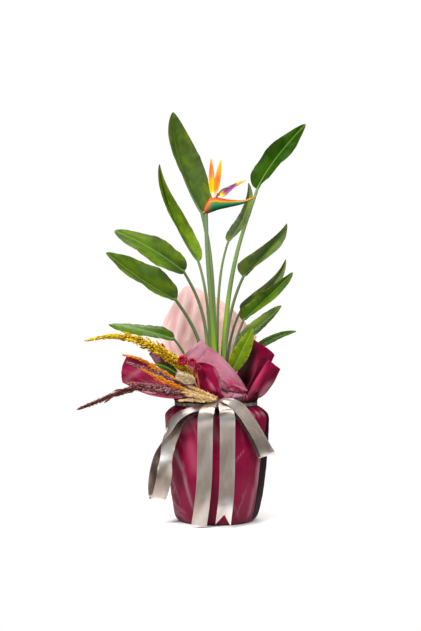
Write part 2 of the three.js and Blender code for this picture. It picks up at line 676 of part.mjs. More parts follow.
// seat is where the stalk stands in the tie, towards the front and up from the tie's middle, and
// path is its line beyond the tie. A plume is a core with pointed florets all round it: bare is the
// share of the path without florets, and spike is a floret's length and radius.
const PLUMES = [
  {
    name: 'spray_yellow_plume', seat: [-4, 5], bare: 0.16, stalk: 1.4, core: 8.5, florets: 26,
    spike: [22, 6], lean: 0.82, seed: 11,
    path: [[-66, -124, 384], [-96, -130, 413], [-130, -138, 443], [-165, -144, 464],
      [-210, -149, 477], [-264, -151, 480], [-328, -152, 468]],
  },
  {
    name: 'spray_orange_plume_upper', seat: [-1.6, 1.2], bare: 0.3, stalk: 1.2, core: 3.2,
    florets: 10, spike: [15, 4], lean: 0.84, seed: 12,
    path: [[-78, -139, 360], [-112, -148, 377], [-150, -154, 399], [-192, -158, 424],
      [-234, -162, 434]],
  },
  {
    name: 'spray_orange_plume_lower', seat: [2.2, -1], bare: 0.34, stalk: 1.2, core: 3,
    florets: 8, spike: [15, 4], lean: 0.84, seed: 13,
    path: [[-80, -149, 354], [-112, -160, 366], [-150, -168, 384], [-188, -172, 402]],
  },
  {
    name: 'spray_mauve_plume', seat: [-5.4, -2], bare: 0.3, stalk: 1.2, core: 4,
    florets: 10, spike: [16, 4.4], lean: 0.84, seed: 14,
    path: [[-78, -131, 350], [-116, -140, 364], [-160, -145, 390], [-226, -150, 416]],
  },
  {
    name: 'spray_brown_plume', seat: [2.6, -5.2], bare: 0.2, stalk: 1.4, core: 6,
    florets: 22, spike: [15, 4], lean: 0.85, seed: 15,
    path: [[-84, -152, 340], [-130, -164, 349], [-180, -174, 353], [-230, -182, 343],
      [-286, -188, 321], [-342, -192, 299]],
  },
  {
    name: 'spray_rust_plume', seat: [-2, -5.8], bare: 0.3, stalk: 1.2, core: 4,
    florets: 10, spike: [16, 4.4], lean: 0.85, seed: 16,
    path: [[-80, -137, 337], [-122, -146, 342], [-170, -150, 352], [-226, -152, 362]],
  },
];

function tieFrame() {
  const along = v3(TIE.along).normalize();
  const side = new THREE.Vector3(0, 0, 1).cross(along).negate().normalize();
  side.multiplyScalar(Math.sign(-side.y));
  const up = new THREE.Vector3(0, 0, 1).addScaledVector(along, -along.z).normalize();
  return { along, side, up };
}

const THROUGH_TIE = 5; // points of a stalk's line that lie in the tie and where it fans out

// The point of a stalk's line at distance d along the tie, with its seat spread out
function tiePoint(seat, d, spread = 1) {
  const { along, side, up } = tieFrame();
  return v3(TIE.at)
    .addScaledVector(along, d)
    .addScaledVector(side, seat[0] * spread)
    .addScaledVector(up, seat[1] * spread)
    .toArray();
}

const inTie = (seat) => [-2, -0.5, 0.5, 2].map((k) => tiePoint(seat, k * 0.5 * (TIE.half + 3)));

// The line of a stalk: straight through the tie at its own seat, fanned out, then along its path
const seated = (seat, path) => spline([...inTie(seat), tiePoint(seat, TIE.half + 21, 1.7), ...path]);

function spike(at, towards, length, radius) {
  return new THREE.ConeGeometry(radius, length, 3)
    .translate(0, length / 2 - 0.6, 0)
    .applyQuaternion(
      new THREE.Quaternion().setFromUnitVectors(new THREE.Vector3(0, 1, 0), towards),
    )
    .translate(at.x, at.y, at.z);
}

const GOLDEN = 137.508;

function florets(curve, from, core, plume) {
  const draw = draws(plume.seed);
  const made = [];
  for (let k = 0; k < plume.florets; k++) {
    const t = mix(from, 0.985, (k + 0.5) / plume.florets);
    const forward = curve.getTangent(t);
    const side = new THREE.Vector3(0, 0, 1).cross(forward).normalize();
    const up = forward.clone().cross(side);
    const angle = degrees(GOLDEN * k);
    const out = side.multiplyScalar(Math.cos(angle)).addScaledVector(up, Math.sin(angle));
    const tilt = plume.lean * (0.9 + 0.2 * draw());
    const towards = out.clone().multiplyScalar(1 - tilt).addScaledVector(forward, tilt).normalize();
    const size = mix(1, 0.62, ((t - from) / (1 - from)) ** 2) * (0.85 + 0.3 * draw());
    const at = curve.getPoint(t).addScaledVector(out, core(t) * 0.5);
    made.push(spike(at, towards, plume.spike[0] * size, plume.spike[1] * size));
  }
  return made;
}

function plumeGeometry(plume) {
  const curve = seated(plume.seat, plume.path);
  const fan = (THROUGH_TIE - 1) / (plume.path.length + THROUGH_TIE - 1);
  const from = mix(fan, 1, plume.bare);
  const core = (t) => {
    if (t < from) return plume.stalk;
    const s = (t - from) / (1 - from);
    return mix(plume.stalk, plume.core, Math.sin(Math.PI * Math.min(s * 1.1 + 0.04, 1) ** 0.7));
  };
  return fuse([tube(curve, 12, 5, core), ...florets(curve, from, core, plume)]);
}

// A hare's tail grass head
const HARES_TAIL = {
  seat: [6.4, 1.6], path: [[-52, -152, 364], [-62, -157, 371], [-78, -161, 376], [-98, -163, 382]],
  stalk: 1.2, core: 9, from: 0.66,
};

function haresTailGeometry() {
  const curve = seated(HARES_TAIL.seat, HARES_TAIL.path);
  const { from, core, stalk } = HARES_TAIL;
  const width = (t) => {
    if (t < from) return stalk;
    const s = (t - from) / (1 - from);
    return mix(stalk, core, Math.min(Math.sin(Math.PI * (0.06 + 0.9 * s)) ** 0.6, 1));
  };
  const hairs = florets(curve, from + 0.04, width, {
    seed: 21, florets: 12, lean: 0.5, spike: [13, 4.4],
  });
  return fuse([tube(curve, 16, 6, width), ...hairs]);
}

// Bleached seed heads, several on one stalk
const CREAM = {
  seat: [6.4, -3], seed: 31,
  heads: [
    [[-56, -150, 343], [-74, -157, 345], [-92, -162, 345]],
    [[-54, -149, 341], [-68, -153, 338], [-84, -157, 334]],
    [[-54, -150, 346], [-66, -157, 350], [-78, -163, 352]],
  ],
};

function creamGeometry() {
  const made = [];
  CREAM.heads.forEach((path, k) => {
    const curve = seated(CREAM.seat, path);
    const core = (t) => (t < 0.55 ? 1.2 : mix(1.2, 3.2, Math.sin((Math.PI * (t - 0.55)) / 0.47)));
    made.push(tube(curve, 8, 4, core));
    made.push(...florets(curve, 0.6, core, {
      seed: CREAM.seed + k, florets: 4, lean: 0.78, spike: [15, 4],
    }));
  });
  return fuse(made);
}

// Dyed seed pods: cups that open towards the front, on stalks that join
const PODS = {
  seat: [2.2, 4.6],
  cups: [
    { at: [-84, -156, 420], open: [-0.25, -0.95, 0.1], radius: 11 },
    { at: [-60, -152, 411], open: [0.15, -0.95, 0.2], radius: 9.5 },
    { at: [-45, -143, 399], open: [0.35, -0.85, 0.3], radius: 7 },
  ],
  fork: [-46, -136, 372],
};

function podGeometry() {
  const made = [];
  for (const cup of PODS.cups) {
    const r = cup.radius;
    const open = v3(cup.open).normalize();
    const turn = new THREE.Quaternion().setFromUnitVectors(new THREE.Vector3(0, 0, 1), open);
    const shell = lathe([
      [0, -r], [0.75 * r, -0.7 * r], [r, 0], [0.82 * r, 0.62 * r], [0.62 * r, 0.7 * r],
      [0.6 * r, 0.1 * r], [0, -0.2 * r],
    ], 8).applyQuaternion(turn).translate(...cup.at);
    const back = v3(cup.at).addScaledVector(open, -0.7 * r).toArray();
    made.push(shell, tube(seated(PODS.seat, [PODS.fork, back]), 7, 4, () => 1.3));
  }
  return fuse(made);
}

// A small leathery leaf in the spray
const SPRAY_LEAF = {
  seat: [-6.8, 2.2], stem: [[-64, -120, 362], [-84, -124, 374]],
  joint: [-98, -128, 384], mid: [-126, -130, 402], tip: [-154, -130, 409],
  face: [0.1, -0.85, 0.5], halves: [11, 11], folds: [12, 12], wave: 0, waves: 1,
};

function sprayLeafGeometry() {
  const rib = through(SPRAY_LEAF.joint, SPRAY_LEAF.mid, SPRAY_LEAF.tip);
  const end = v3(SPRAY_LEAF.joint).addScaledVector(rib.getTangent(0), 8).toArray();
  const stalk = tube(seated(SPRAY_LEAF.seat, [...SPRAY_LEAF.stem, end]), 10, 5, () => 1.3);
  return fuse([sheet(bladeSurface(rib, SPRAY_LEAF, BLADE_OUTLINE), 2, 6, BLADE), stalk]);
}

// The florist's tape that binds the stalks, with a plain hole for each
function tieGeometry() {
  const { along } = tieFrame();
  const turn = new THREE.Quaternion().setFromUnitVectors(new THREE.Vector3(0, 1, 0), along);
  const body = new THREE.CylinderGeometry(TIE.radius, TIE.radius, 2 * TIE.half, 9)
    .applyQuaternion(turn)
    .translate(...TIE.at);
  const stalks = [...PLUMES, HARES_TAIL, CREAM, PODS, SPRAY_LEAF];
  const holes = stalks.map(({ seat, stalk = 1.3 }) =>
    tube(spline(inTie(seat)), 1, 6, () => stalk + CLEAR));
  return cut(body, holes);
}

// Materials

const COLOURS = {
  leaf: [0x3f6b1d, 0.45],
  young_leaf: [0x6f9420, 0.45],
  spathe: [0x2f7a4c, 0.4],
  sepal: [0xf5921e, 0.5],
  petal: [0x7a3d8f, 0.5],
  soil: [0x3b2a1e, 0.95],
  pot: [0x2b2b2d, 0.6],
  burgundy: [0x8c1540, 0.32],
  mauve: [0xb96480, 0.4],
  pink: [0xf2c6c8, 0.5],
  ribbon: [0x9a9087, 0.35],
  tape: [0x4f5b33, 0.8],
  yellow: [0xc79a0c, 0.8],
  orange: [0xd8791c, 0.8],
  brown: [0x59261c, 0.85],
  rust: [0x8a4550, 0.85],
  cream: [0xdcc07e, 0.8],
  pod: [0xa51c33, 0.5],
  spray_leaf: [0x2f5a22, 0.5],
};
const finishes = Object.fromEntries(
  Object.entries(COLOURS).map(([name, [color, roughness]]) => [
    name,
    new THREE.MeshStandardMaterial({ color, roughness, metalness: 0, name }),
  ]),
);

// Assembly

const root = new THREE.Group();

function add(name, geometry, finish) {
  const mesh = new THREE.Mesh(geometry, finishes[finish]);
  mesh.name = name;
  root.add(mesh);
}

add('nursery_pot', potGeometry(), 'pot');
add('soil', soilGeometry(), 'soil');
for (const leaf of LEAVES) {
  add(leaf.name, leafGeometry(leaf), leaf.name === 'leaf_young_front' ? 'young_leaf' : 'leaf');
}

const flower = flowerGeometries();
add('flower_stalk_and_spathe', flower.spathe, 'spathe');
add('flower_sepals', flower.sepals, 'sepal');
add('flower_arrow_petal', flower.arrow, 'petal');

add('wrap_burgundy_sheet', burgundySheet(), 'burgundy');
add('wrap_front_sheet', sheet(flapSurface(FRONT_SHEET), 8, 7, FILM), 'mauve');
add('wrap_pink_sheet', sheet(flapSurface(PINK_SHEET), 9, 6, FILM), 'pink');

add('ribbon_band', ringBand(), 'ribbon');
add('ribbon_bow', bowGeometry(), 'ribbon');

const PLUME_FINISH = {
  spray_yellow_plume: 'yellow',
  spray_orange_plume_upper: 'orange',
  spray_orange_plume_lower: 'orange',
  spray_mauve_plume: 'rust',
  spray_brown_plume: 'brown',
  spray_rust_plume: 'rust',
};
for (const plume of PLUMES) add(plume.name, plumeGeometry(plume), PLUME_FINISH[plume.name]);
add('spray_hares_tail', haresTailGeometry(), 'cream');
add('spray_cream_heads', creamGeometry(), 'cream');
add('spray_pods', podGeometry(), 'pod');
add('spray_leaf', sprayLeafGeometry(), 'spray_leaf');
add('spray_tie', tieGeometry(), 'tape');

export default root;
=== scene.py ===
"""A gift-wrapped bird of paradise (Strelitzia) in a pot: its looks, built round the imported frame.

Lengths are in millimetres until a mesh is made, and angles round the pot in degrees. +Z is up, the
origin is the middle of the underside, and the front of the wrapping faces -Y, at 270 degrees.
"""
import math

import bpy
import numpy as np
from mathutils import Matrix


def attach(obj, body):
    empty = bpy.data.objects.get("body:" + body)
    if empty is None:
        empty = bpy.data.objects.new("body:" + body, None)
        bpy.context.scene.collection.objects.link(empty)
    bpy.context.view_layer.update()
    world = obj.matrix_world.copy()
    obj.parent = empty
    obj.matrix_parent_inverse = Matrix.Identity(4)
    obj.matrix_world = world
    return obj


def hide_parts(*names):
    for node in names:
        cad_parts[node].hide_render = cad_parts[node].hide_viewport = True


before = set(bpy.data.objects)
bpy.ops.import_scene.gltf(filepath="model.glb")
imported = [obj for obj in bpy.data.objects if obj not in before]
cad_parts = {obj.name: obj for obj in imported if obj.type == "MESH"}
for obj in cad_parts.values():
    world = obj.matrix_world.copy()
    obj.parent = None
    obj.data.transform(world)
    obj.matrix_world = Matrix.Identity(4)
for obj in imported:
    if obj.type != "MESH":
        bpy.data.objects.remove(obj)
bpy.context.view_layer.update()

MM = 0.001
UP = np.array([0.0, 0.0, 1.0])


def added(name, data):
    """A new object in the scene."""
    made = bpy.data.objects.new(name, data)
    bpy.context.scene.collection.objects.link(made)
    return made


# Camera: level with the middle of the plant, at the distance where a pixel is 2.6 mm at the pot

MM_PER_PIXEL = 2.6
PICTURE_HEIGHT = 631
CAMERA_AT = (-14.3, -3400.0, 531.0)
SENSOR = 36.0

camera = added("camera", bpy.data.cameras.new("camera"))
camera.location = [c * MM for c in CAMERA_AT]
camera.rotation_euler = (math.pi / 2, 0, 0)
camera.data.sensor_width = SENSOR
camera.data.lens = SENSOR * -CAMERA_AT[1] / (MM_PER_PIXEL * PICTURE_HEIGHT)
bpy.context.scene.camera = camera
bpy.context.scene.view_settings.view_transform = "Standard"


# Curves and surfaces

def unit(v):
    v = np.asarray(v, float)
    return v / np.maximum(np.linalg.norm(v, axis=-1, keepdims=True), 1e-12)


def across_of(v, forward):
    """The part of v that is square to forward, as unit vectors."""
    v = np.broadcast_to(np.asarray(v, float), forward.shape)
    return unit(v - forward * np.sum(v * forward, -1, keepdims=True))


def mix(a, b, t):
    return a + (b - a) * t


def smooth(low, high, x):
    t = np.clip((x - low) / (high - low), 0, 1)
    return t * t * (3 - 2 * t)


def bell(x, at, width):
    return np.exp(-(((x - at) / width) ** 2))


def bezier(*points):
    """A Bezier curve of any degree, as a function of an array of shares."""
    p = np.asarray(points, float)
    n = len(p) - 1

    def at(t):
        t = np.asarray(t, float)[..., None]
        return sum(math.comb(n, k) * (1 - t) ** (n - k) * t**k * p[k] for k in range(n + 1))
    return at


def through(a, b, c):
    """The curve through three points, smooth at the middle one."""
    a, b, c = (np.asarray(p, float) for p in (a, b, c))
    return bezier(a, 2 * b - 0.5 * a - 0.5 * c, c)


def spline(points):
    """A centripetal Catmull-Rom curve through points, which may be rows of points."""
    p = np.asarray(points, float)
    q = np.concatenate([2 * p[:1] - p[1:2], p, 2 * p[-1:] - p[-2:-1]])
    step = np.linalg.norm(q[1:] - q[:-1], axis=-1, keepdims=True) ** 0.5
    step = np.maximum(step, 1e-4)
    d0, d1, d2 = step[:-2], step[1:-1], step[2:]
    x0, x1, x2, x3 = q[:-3], q[1:-2], q[2:-1], q[3:]
    t1 = ((x1 - x0) / d0 - (x2 - x0) / (d0 + d1) + (x2 - x1) / d1) * d1
    t2 = ((x2 - x1) / d1 - (x3 - x1) / (d1 + d2) + (x3 - x2) / d2) * d1
    c2, c3 = -3 * x1 + 3 * x2 - 2 * t1 - t2, 2 * x1 - 2 * x2 + t1 + t2

    def at(t):
        place = np.clip(np.asarray(t, float), 0, 1) * (len(p) - 1)
        k = np.minimum(place.astype(int), len(p) - 2)
        w = (place - k).reshape(place.shape + (1,) * (p.ndim - 1))
        return x1[k] + w * (t1[k] + w * (c2[k] + w * c3[k]))
    return at


def tangent(curve, t, step=1e-4):
    t = np.asarray(t, float)
    return unit(curve(np.clip(t + step, 0, 1)) - curve(np.clip(t - step, 0, 1)))


def lengths(points):
    """Distance along a line of points."""
    steps = np.linalg.norm(np.diff(points, axis=0), axis=-1)
    return np.concatenate([[0], np.cumsum(steps)])


def polar(angle, radius, z):
    a = np.radians(angle)
    return np.stack(np.broadcast_arrays(radius * np.cos(a), radius * np.sin(a), z), -1)


def around(count):
    """Angles once round, in radians."""
    return np.linspace(0, 2 * math.pi, count, endpoint=False)


# Solids: each is (points, faces, attributes), with one value of an attribute for each point

def thin(grid, thick, **attributes):
    """A closed sheet about a grid of middle points. Its first half of points is the side that looks
    along across x along."""
    rows, columns = grid.shape[:2]
    wide = np.pad(grid, ((0, 0), (1, 1), (0, 0)), "edge")
    tall = np.pad(grid, ((1, 1), (0, 0), (0, 0)), "edge")
    normal = unit(np.cross(wide[:, 2:] - wide[:, :-2], tall[2:] - tall[:-2]))
    half = 0.5 * np.broadcast_to(thick, (rows, columns))[..., None]
    points = np.concatenate([(grid + normal * half), (grid - normal * half)]).reshape(-1, 3)
    index = np.arange(rows * columns).reshape(rows, columns)
    a, b, c, d = index[:-1, :-1], index[:-1, 1:], index[1:, 1:], index[1:, :-1]
    back = rows * columns
    front = np.stack([a, b, c, d], -1).reshape(-1, 4)
    rim = np.concatenate([index[0, :-1], index[:-1, -1], index[-1, :0:-1], index[:0:-1, 0]])
    after = np.roll(rim, -1)
    edge = np.stack([rim, rim + back, after + back, after], -1)
    values = {name: np.tile(np.broadcast_to(v, (rows, columns)).ravel(), 2)
              for name, v in attributes.items()}
    values["side"] = np.repeat([1.0, 0.0], back)
    return points, [front, front[:, ::-1] + back, edge], values


def skinned(rings, **attributes):
    """A closed body through rings of points, an array of rings x sides x 3."""
    count, sides = rings.shape[:2]
    index = np.arange(count * sides).reshape(count, sides)
    a, b = index[:-1], np.roll(index, -1, 1)[:-1]
    c, d = np.roll(index, -1, 1)[1:], index[1:]
    faces = [np.stack([a, b, c, d], -1).reshape(-1, 4), index[:1, ::-1], index[-1:]]
    values = {name: np.broadcast_to(v, (count, sides)).ravel() for name, v in attributes.items()}
    return rings.reshape(-1, 3), faces, values


def tube(points, radius, sides, up=UP, **attributes):
    """A tube along a line of points."""
    forward = unit(np.gradient(points, axis=0))
    up = across_of(up, forward)
    side = np.cross(forward, up)
    angle = around(sides)[:, None]
    ring = up[:, None] * np.cos(angle) - side[:, None] * np.sin(angle)
    reach = np.broadcast_to(np.asarray(radius, float).reshape(-1, 1), (len(points), sides))
    values = {name: np.asarray(v, float).reshape(-1, 1) for name, v in attributes.items()}
    return skinned(points[:, None] + reach[..., None] * ring, **values)


def copies(shape, at, forward, size, turn=0.0, **attributes):
    """Many copies of a small solid (points along +Z, faces), turned to forward and scaled."""
    points, faces = shape
    forward = unit(forward)
    helper = np.where(np.abs(forward[:, 2:]) > 0.9, [[1.0, 0.0, 0.0]], [[0.0, 0.0, 1.0]])
    side = unit(np.cross(helper, forward))
    up = np.cross(forward, side)
    turn = np.broadcast_to(turn, len(at))[:, None]
    x = side * np.cos(turn) + up * np.sin(turn)
    y = np.cross(forward, x)
    size = np.broadcast_to(np.asarray(size, float), (len(at), 3))
    local = points[None] * size[:, None]
    made = at[:, None] + local[..., :1] * x[:, None] + local[..., 1:2] * y[:, None] \
        + local[..., 2:] * forward[:, None]
    n = len(points)
    starts = (np.arange(len(at)) * n)[:, None, None]
    fan = [(f[None] + starts).reshape(-1, f.shape[1]) for f in faces]
    values = {name: np.repeat(np.broadcast_to(v, len(at)), n) for name, v in attributes.items()}
    return made.reshape(-1, 3), fan, values


def spindle(rings, sides=4):
    """A small pointed solid along +Z from 0 to 1: rings are (height, radius) between its ends."""
    points = [[0, 0, 0]]
    for z, r in rings:
        for k in range(sides):
            a = 2 * math.pi * k / sides
            points.append([r * math.cos(a), r * math.sin(a), z])
    points.append([0, 0, 1])
    triangles, quads = [], []
    last = len(points) - 1
    for k in range(sides):
        b = (k + 1) % sides
        triangles.append([0, 1 + b, 1 + k])
        triangles.append([last, last - sides + k, last - sides + b])
        for j in range(len(rings) - 1):
            low = 1 + j * sides
            quads.append([low + k, low + b, low + sides + b, low + sides + k])
    faces = [np.array(triangles)] + ([np.array(quads)] if quads else [])
    return np.array(points, float), faces


GRAIN = spindle([(0.4, 0.5)])
HAIR = spindle([(0.15, 0.5)], 3)
KERNEL = spindle([(0.2, 0.42), (0.65, 0.45)], 5)


def piece(name, solids, material, nodes=(), sharp=48):
    """One object from solids. It stands for nodes and rides on the part's one body."""
    names = sorted({key for s in solids for key in s[2]})
    starts = np.cumsum([0] + [len(s[0]) for s in solids])
    points = np.concatenate([s[0] for s in solids])
    faces = [f + start for s, start in zip(solids, starts) for f in s[1]]
    corners = np.concatenate([f.ravel() for f in faces]).astype(np.int32)
    sizes = np.concatenate([np.full(len(f), f.shape[1]) for f in faces])
    mesh = bpy.data.meshes.new(name)
    mesh.vertices.add(len(points))
    mesh.vertices.foreach_set("co", (points * MM).astype(np.float32).ravel())
    mesh.loops.add(len(corners))
    mesh.loops.foreach_set("vertex_index", corners)
    mesh.polygons.add(len(sizes))
    mesh.polygons.foreach_set("loop_start", (np.cumsum(sizes) - sizes).astype(np.int32))
    mesh.update(calc_edges=True)
    mesh.shade_smooth()
    mesh.set_sharp_from_angle(angle=math.radians(sharp))
    for key in names:
        values = [s[2].get(key, np.zeros(len(s[0]))) for s in solids]
        made = mesh.attributes.new(key, "FLOAT", "POINT")
        made.data.foreach_set("value", np.concatenate(values).astype(np.float32))
    mesh.materials.append(material)
    made = added(name, mesh)
    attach(made, "root")
    if nodes:
        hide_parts(*nodes)
    return made


# Materials

class Paint:
    """A material's nodes, wired by short calls."""

    def __init__(self, name, **sockets):
        self.material = bpy.data.materials.new(name)
        self.material.use_nodes = True
        self.tree = self.material.node_tree
        self.shader = self.tree.nodes["Principled BSDF"]
        for key, value in sockets.items():
            self.set(key.replace("_", " "), value)

    def set(self, socket, value):
        found = next(s for s in self.shader.inputs if s.name.lower() == socket.lower())
        self.plug(value, found)

    def plug(self, value, socket):
        if isinstance(value, bpy.types.NodeSocket):
            self.tree.links.new(value, socket)
        elif isinstance(value, (tuple, list)) and len(value) == 3 and socket.type == "RGBA":
            socket.default_value = (*value, 1)
        else:
            socket.default_value = value

    def node(self, kind, inputs, output=0, **settings):
        made = self.tree.nodes.new("ShaderNode" + kind)
        for key, value in settings.items():
            setattr(made, key, value)
        for key, value in inputs.items():
            self.plug(value, made.inputs[key])
        return made.outputs[output]

    def value(self, name):
        return self.node("Attribute", {}, "Fac", attribute_name=name)

    def place(self):
        return self.node("TexCoord", {}, "Object")

    def math(self, operation, a, b=0.0):
        return self.node("Math", {0: a, 1: b}, operation=operation)

    def times(self, a, b):
        return self.math("MULTIPLY", a, b)

    def plus(self, a, b):
        return self.math("ADD", a, b)

    def waves(self, value, pitch):
        return self.math("SINE", self.times(value, 2 * math.pi / pitch))

    def vector(self, x, y, z=0.0):
        return self.node("CombineXYZ", {0: x, 1: y, 2: z})

    def noise(self, scale, detail=3.0, vector=None, kind="FBM", rough=0.5):
        vector = vector or self.place()
        return self.node("TexNoise", {"Vector": vector, "Scale": scale, "Detail": detail,
                                      "Roughness": rough}, 0, noise_type=kind)

    def grain(self, detail, x, x_scale, y, y_scale, seed=0.0):
        """Noise over two values of the surface, each with its own scale, as for fibres."""
        place = self.vector(self.times(x, x_scale), self.times(y, y_scale), seed)
        return self.noise(1.0, detail, place)

    def wander(self, value, scale, amount, detail=3.0):
        """A value that noise moves up and down, so that colours don't change at a clean line."""
        moved = self.times(self.math("SUBTRACT", self.noise(scale, detail), 0.5), amount)
        return self.plus(value, moved)

    def span(self, value, low, high, to_low=0.0, to_high=1.0):
        inputs = {"Value": value, "From Min": low, "From Max": high,
                  "To Min": to_low, "To Max": to_high}
        return self.node("MapRange", inputs, clamp=True)

    def ramp(self, factor, *stops):
        made = self.tree.nodes.new("ShaderNodeValToRGB")
        self.plug(factor, made.inputs[0])
        elements = made.color_ramp.elements
        while len(elements) < len(stops):
            elements.new(0.5)
        for element, (position, colour) in zip(elements, stops):
            element.position = position
            element.color = (*colour, 1)
        return made.outputs[0]

    def blend(self, factor, a, b):
        return self.node("Mix", {0: factor, 6: a, 7: b}, 2, data_type="RGBA")

    def bump(self, height, strength, distance):
        made = self.node("Bump", {"Height": height, "Strength": strength,
                                  "Distance": distance * MM}, 0)
        self.set("Normal", made)


def shade(colour, by):
    return tuple(min(c * by, 1.0) for c in colour)


def blended(a, b, share):
    return tuple(mix(x, y, share) for x, y in zip(a, b))


def speckled(name, scale, detail, stops, relief, **sockets):
    """A material whose colour and relief come from noise. relief is scale, detail, strength and
    depth in millimetres."""
    paint = Paint(name, **sockets)
    paint.set("Base Color", paint.ramp(paint.noise(scale, detail), *stops))
    fine, fine_detail, strength, depth = relief
    paint.bump(paint.noise(fine, fine_detail), strength, depth)
    return paint


# Leaves

SOIL_TOP = 262
STEM_DEPTH = 36

DARK = (0.014, 0.055, 0.001)
MIDDLE = (0.060, 0.118, 0.016)
MOSS = (0.052, 0.108, 0.010)
FRESH = (0.118, 0.23, 0.010)
YOUNG = (0.125, 0.21, 0.002)
DULL = (0.10, 0.15, 0.055)
GREY = (0.105, 0.155, 0.07)
SAGE = (0.07, 0.125, 0.03)
OLIVE = (0.045, 0.105, 0.004)
STEM_GREEN = (0.15, 0.225, 0.075)
STEM_DULL = (0.12, 0.175, 0.08)

# A blade's joint, mid and tip are points on its midrib, and face is where its upper side looks.
# turns are the degrees by which that side turns to its right, at the base and at the tip. halves
# are the widths left and right of the rib, folds the degrees by which they rise from flat, and
# tip_folds the same at the tip. early is how near the base each is widest (less is nearer), wave and
# waves the height and number of the waves, frill the size of the fine ones, camber how far a half
# bulges.
BLADE = dict(face=(0, -1, 0), turns=(0, 0), early=(1, 1), wave=0, waves=1, frill=1.0, camber=0.06)
# A leaf's foot is where its stalk leaves the soil, rise how much of its height it goes straight up,
# bow how far its lower half moves sideways, and stalk its radius at foot and joint. top and under
# are the colours of the blade's sides, stem that of the stalk, relief the strength of the veins, rib
# half the width of the pale rib, and gloss how much it shines.
LEAF = dict(BLADE, rise=0.56, bow=(0, 0), under=GREY, stem=STEM_DULL, relief=0.35, rib=3.2,
            gloss=0.16)
LEAVES = {
    "leaf_tall_left": dict(
        foot=(-5, 4), joint=(-37, 12, 800), mid=(-98, 22, 938), tip=(-112, -4, 1059),
        turns=(42, 0), halves=(44, 62), folds=(58, 6), early=(1.2, 0.75), wave=2, waves=2,
        stalk=(9, 4.2), top=MIDDLE, stem=STEM_GREEN),
    "leaf_narrow_left": dict(
        foot=(-13, 26), joint=(-46, 60, 673), mid=(-117, 78, 800), tip=(-149, 66, 932),
        turns=(40, -15), halves=(22, 33), folds=(66, 24), tip_folds=(60, 62), early=(1.5, 0.8),
        wave=3, waves=1.5, stalk=(5, 3.2), top=FRESH, under=DULL, stem=STEM_GREEN),
    "leaf_upper_left": dict(
        foot=(-21, 8), rise=0.75, bow=(14, -14), joint=(-82, -50, 642), mid=(-165, -80, 700),
        tip=(-259, -64, 747), turns=(40, 36), halves=(44, 37), folds=(16, 24),
        early=(1.1, 0.75), wave=4, waves=2, stalk=(5, 3.4), top=MOSS),
    "leaf_lower_left": dict(
        foot=(-21, -12), rise=0.65, bow=(12, 0), joint=(-101, -74, 568), mid=(-188, -118, 621),
        tip=(-276, -124, 688), turns=(35, 35), halves=(34, 48), folds=(46, 12),
        tip_folds=(30, 42), early=(1.1, 0.78), wave=4, waves=2.5, stalk=(5.4, 3.6), top=MOSS),
    "leaf_low_left": dict(
        foot=(-36, -4), joint=(-105, -58, 468), mid=(-190, -84, 496), tip=(-274, -62, 509),
        turns=(68, 62), halves=(26, 37), folds=(-10, 16), tip_folds=(-10, -20),
        early=(1.4, 0.72), wave=3, stalk=(4.2, 2.8), top=OLIVE),
    "leaf_tall_right": dict(
        foot=(14, 9), rise=0.7, joint=(109, 40, 864), mid=(157, 50, 943), tip=(234, 20, 1031),
        turns=(-28, -10), halves=(36, 31), folds=(12, 34), tip_folds=(12, 24), early=(0.9, 1.7),
        wave=8, waves=2, stalk=(7.5, 3.6), top=DARK, under=SAGE, stem=STEM_GREEN, gloss=0.05),
    "leaf_behind_flower": dict(
        foot=(4, 30), joint=(33, 92, 728), mid=(76, 116, 801), tip=(87, 122, 888),
        turns=(-30, 10), halves=(18, 20), folds=(20, 40), tip_folds=(72, 20), early=(0.6, 1.3),
        wave=2, waves=1.5, stalk=(4.4, 2.8), top=DULL, stem=STEM_GREEN),
    "leaf_right_upper": dict(
        foot=(17, -11), rise=0.62, joint=(69, -50, 629), mid=(127, -70, 691), tip=(180, -60, 766),
        turns=(-36, 40), halves=(32, 20), folds=(30, 66), tip_folds=(42, 30), early=(0.5, 2.2),
        wave=3, waves=1.5, stalk=(5, 3.4), top=SAGE),
    "leaf_right_back": dict(
        foot=(22, 26), joint=(65, 58, 543), mid=(145, 84, 612), tip=(186, 92, 681),
        turns=(20, -20), halves=(25, 24), folds=(20, 35), tip_folds=(95, 35), early=(0.55, 1.0),
        wave=3, waves=2.5, stalk=(4.4, 3), top=DULL),
    "leaf_right_middle": dict(
        foot=(30, 6), joint=(70, -14, 516), mid=(127, -26, 572), tip=(197, -36, 642),
        turns=(-34, 20), halves=(24, 21), folds=(24, 50), tip_folds=(24, 42), early=(0.6, 1.7),
        wave=4, waves=2, stalk=(4.6, 3), top=OLIVE, under=SAGE),
    "leaf_right_low": dict(
        foot=(38, 20), joint=(57, 26, 467), mid=(120, 38, 507), tip=(171, 24, 556),
        turns=(-50, -60), halves=(30, 22), folds=(10, 10), tip_folds=(6, 6), early=(1.3, 0.8),
        wave=1, waves=1.5, frill=0.5, stalk=(4, 2.8), top=SAGE, under=SAGE, relief=0.15,
        gloss=0.06),
    "leaf_young_front": dict(
        foot=(32, -15), joint=(39, -42, 384), mid=(66, -58, 441), tip=(94, -66, 499),
        turns=(-12, -12), halves=(20, 23), folds=(14, 14), early=(1.0, 1.2), wave=1.5,
        stalk=(4, 3.2), top=YOUNG, under=FRESH, stem=STEM_GREEN),
    "leaf_far_right": dict(
        foot=(43, 4), joint=(102, 56, 442), mid=(158, 66, 474), tip=(213, 70, 489),
        turns=(-61, -58), halves=(16, 20), folds=(4, 4), early=(0.8, 0.8), wave=0.5, waves=1.5,
        frill=0.25, stalk=(4, 2.6), top=OLIVE, under=OLIVE, relief=0.0, rib=1.0, gloss=0.02),
}
BLADE_ROWS = 84
BLADE_HALF_COLUMNS = 13
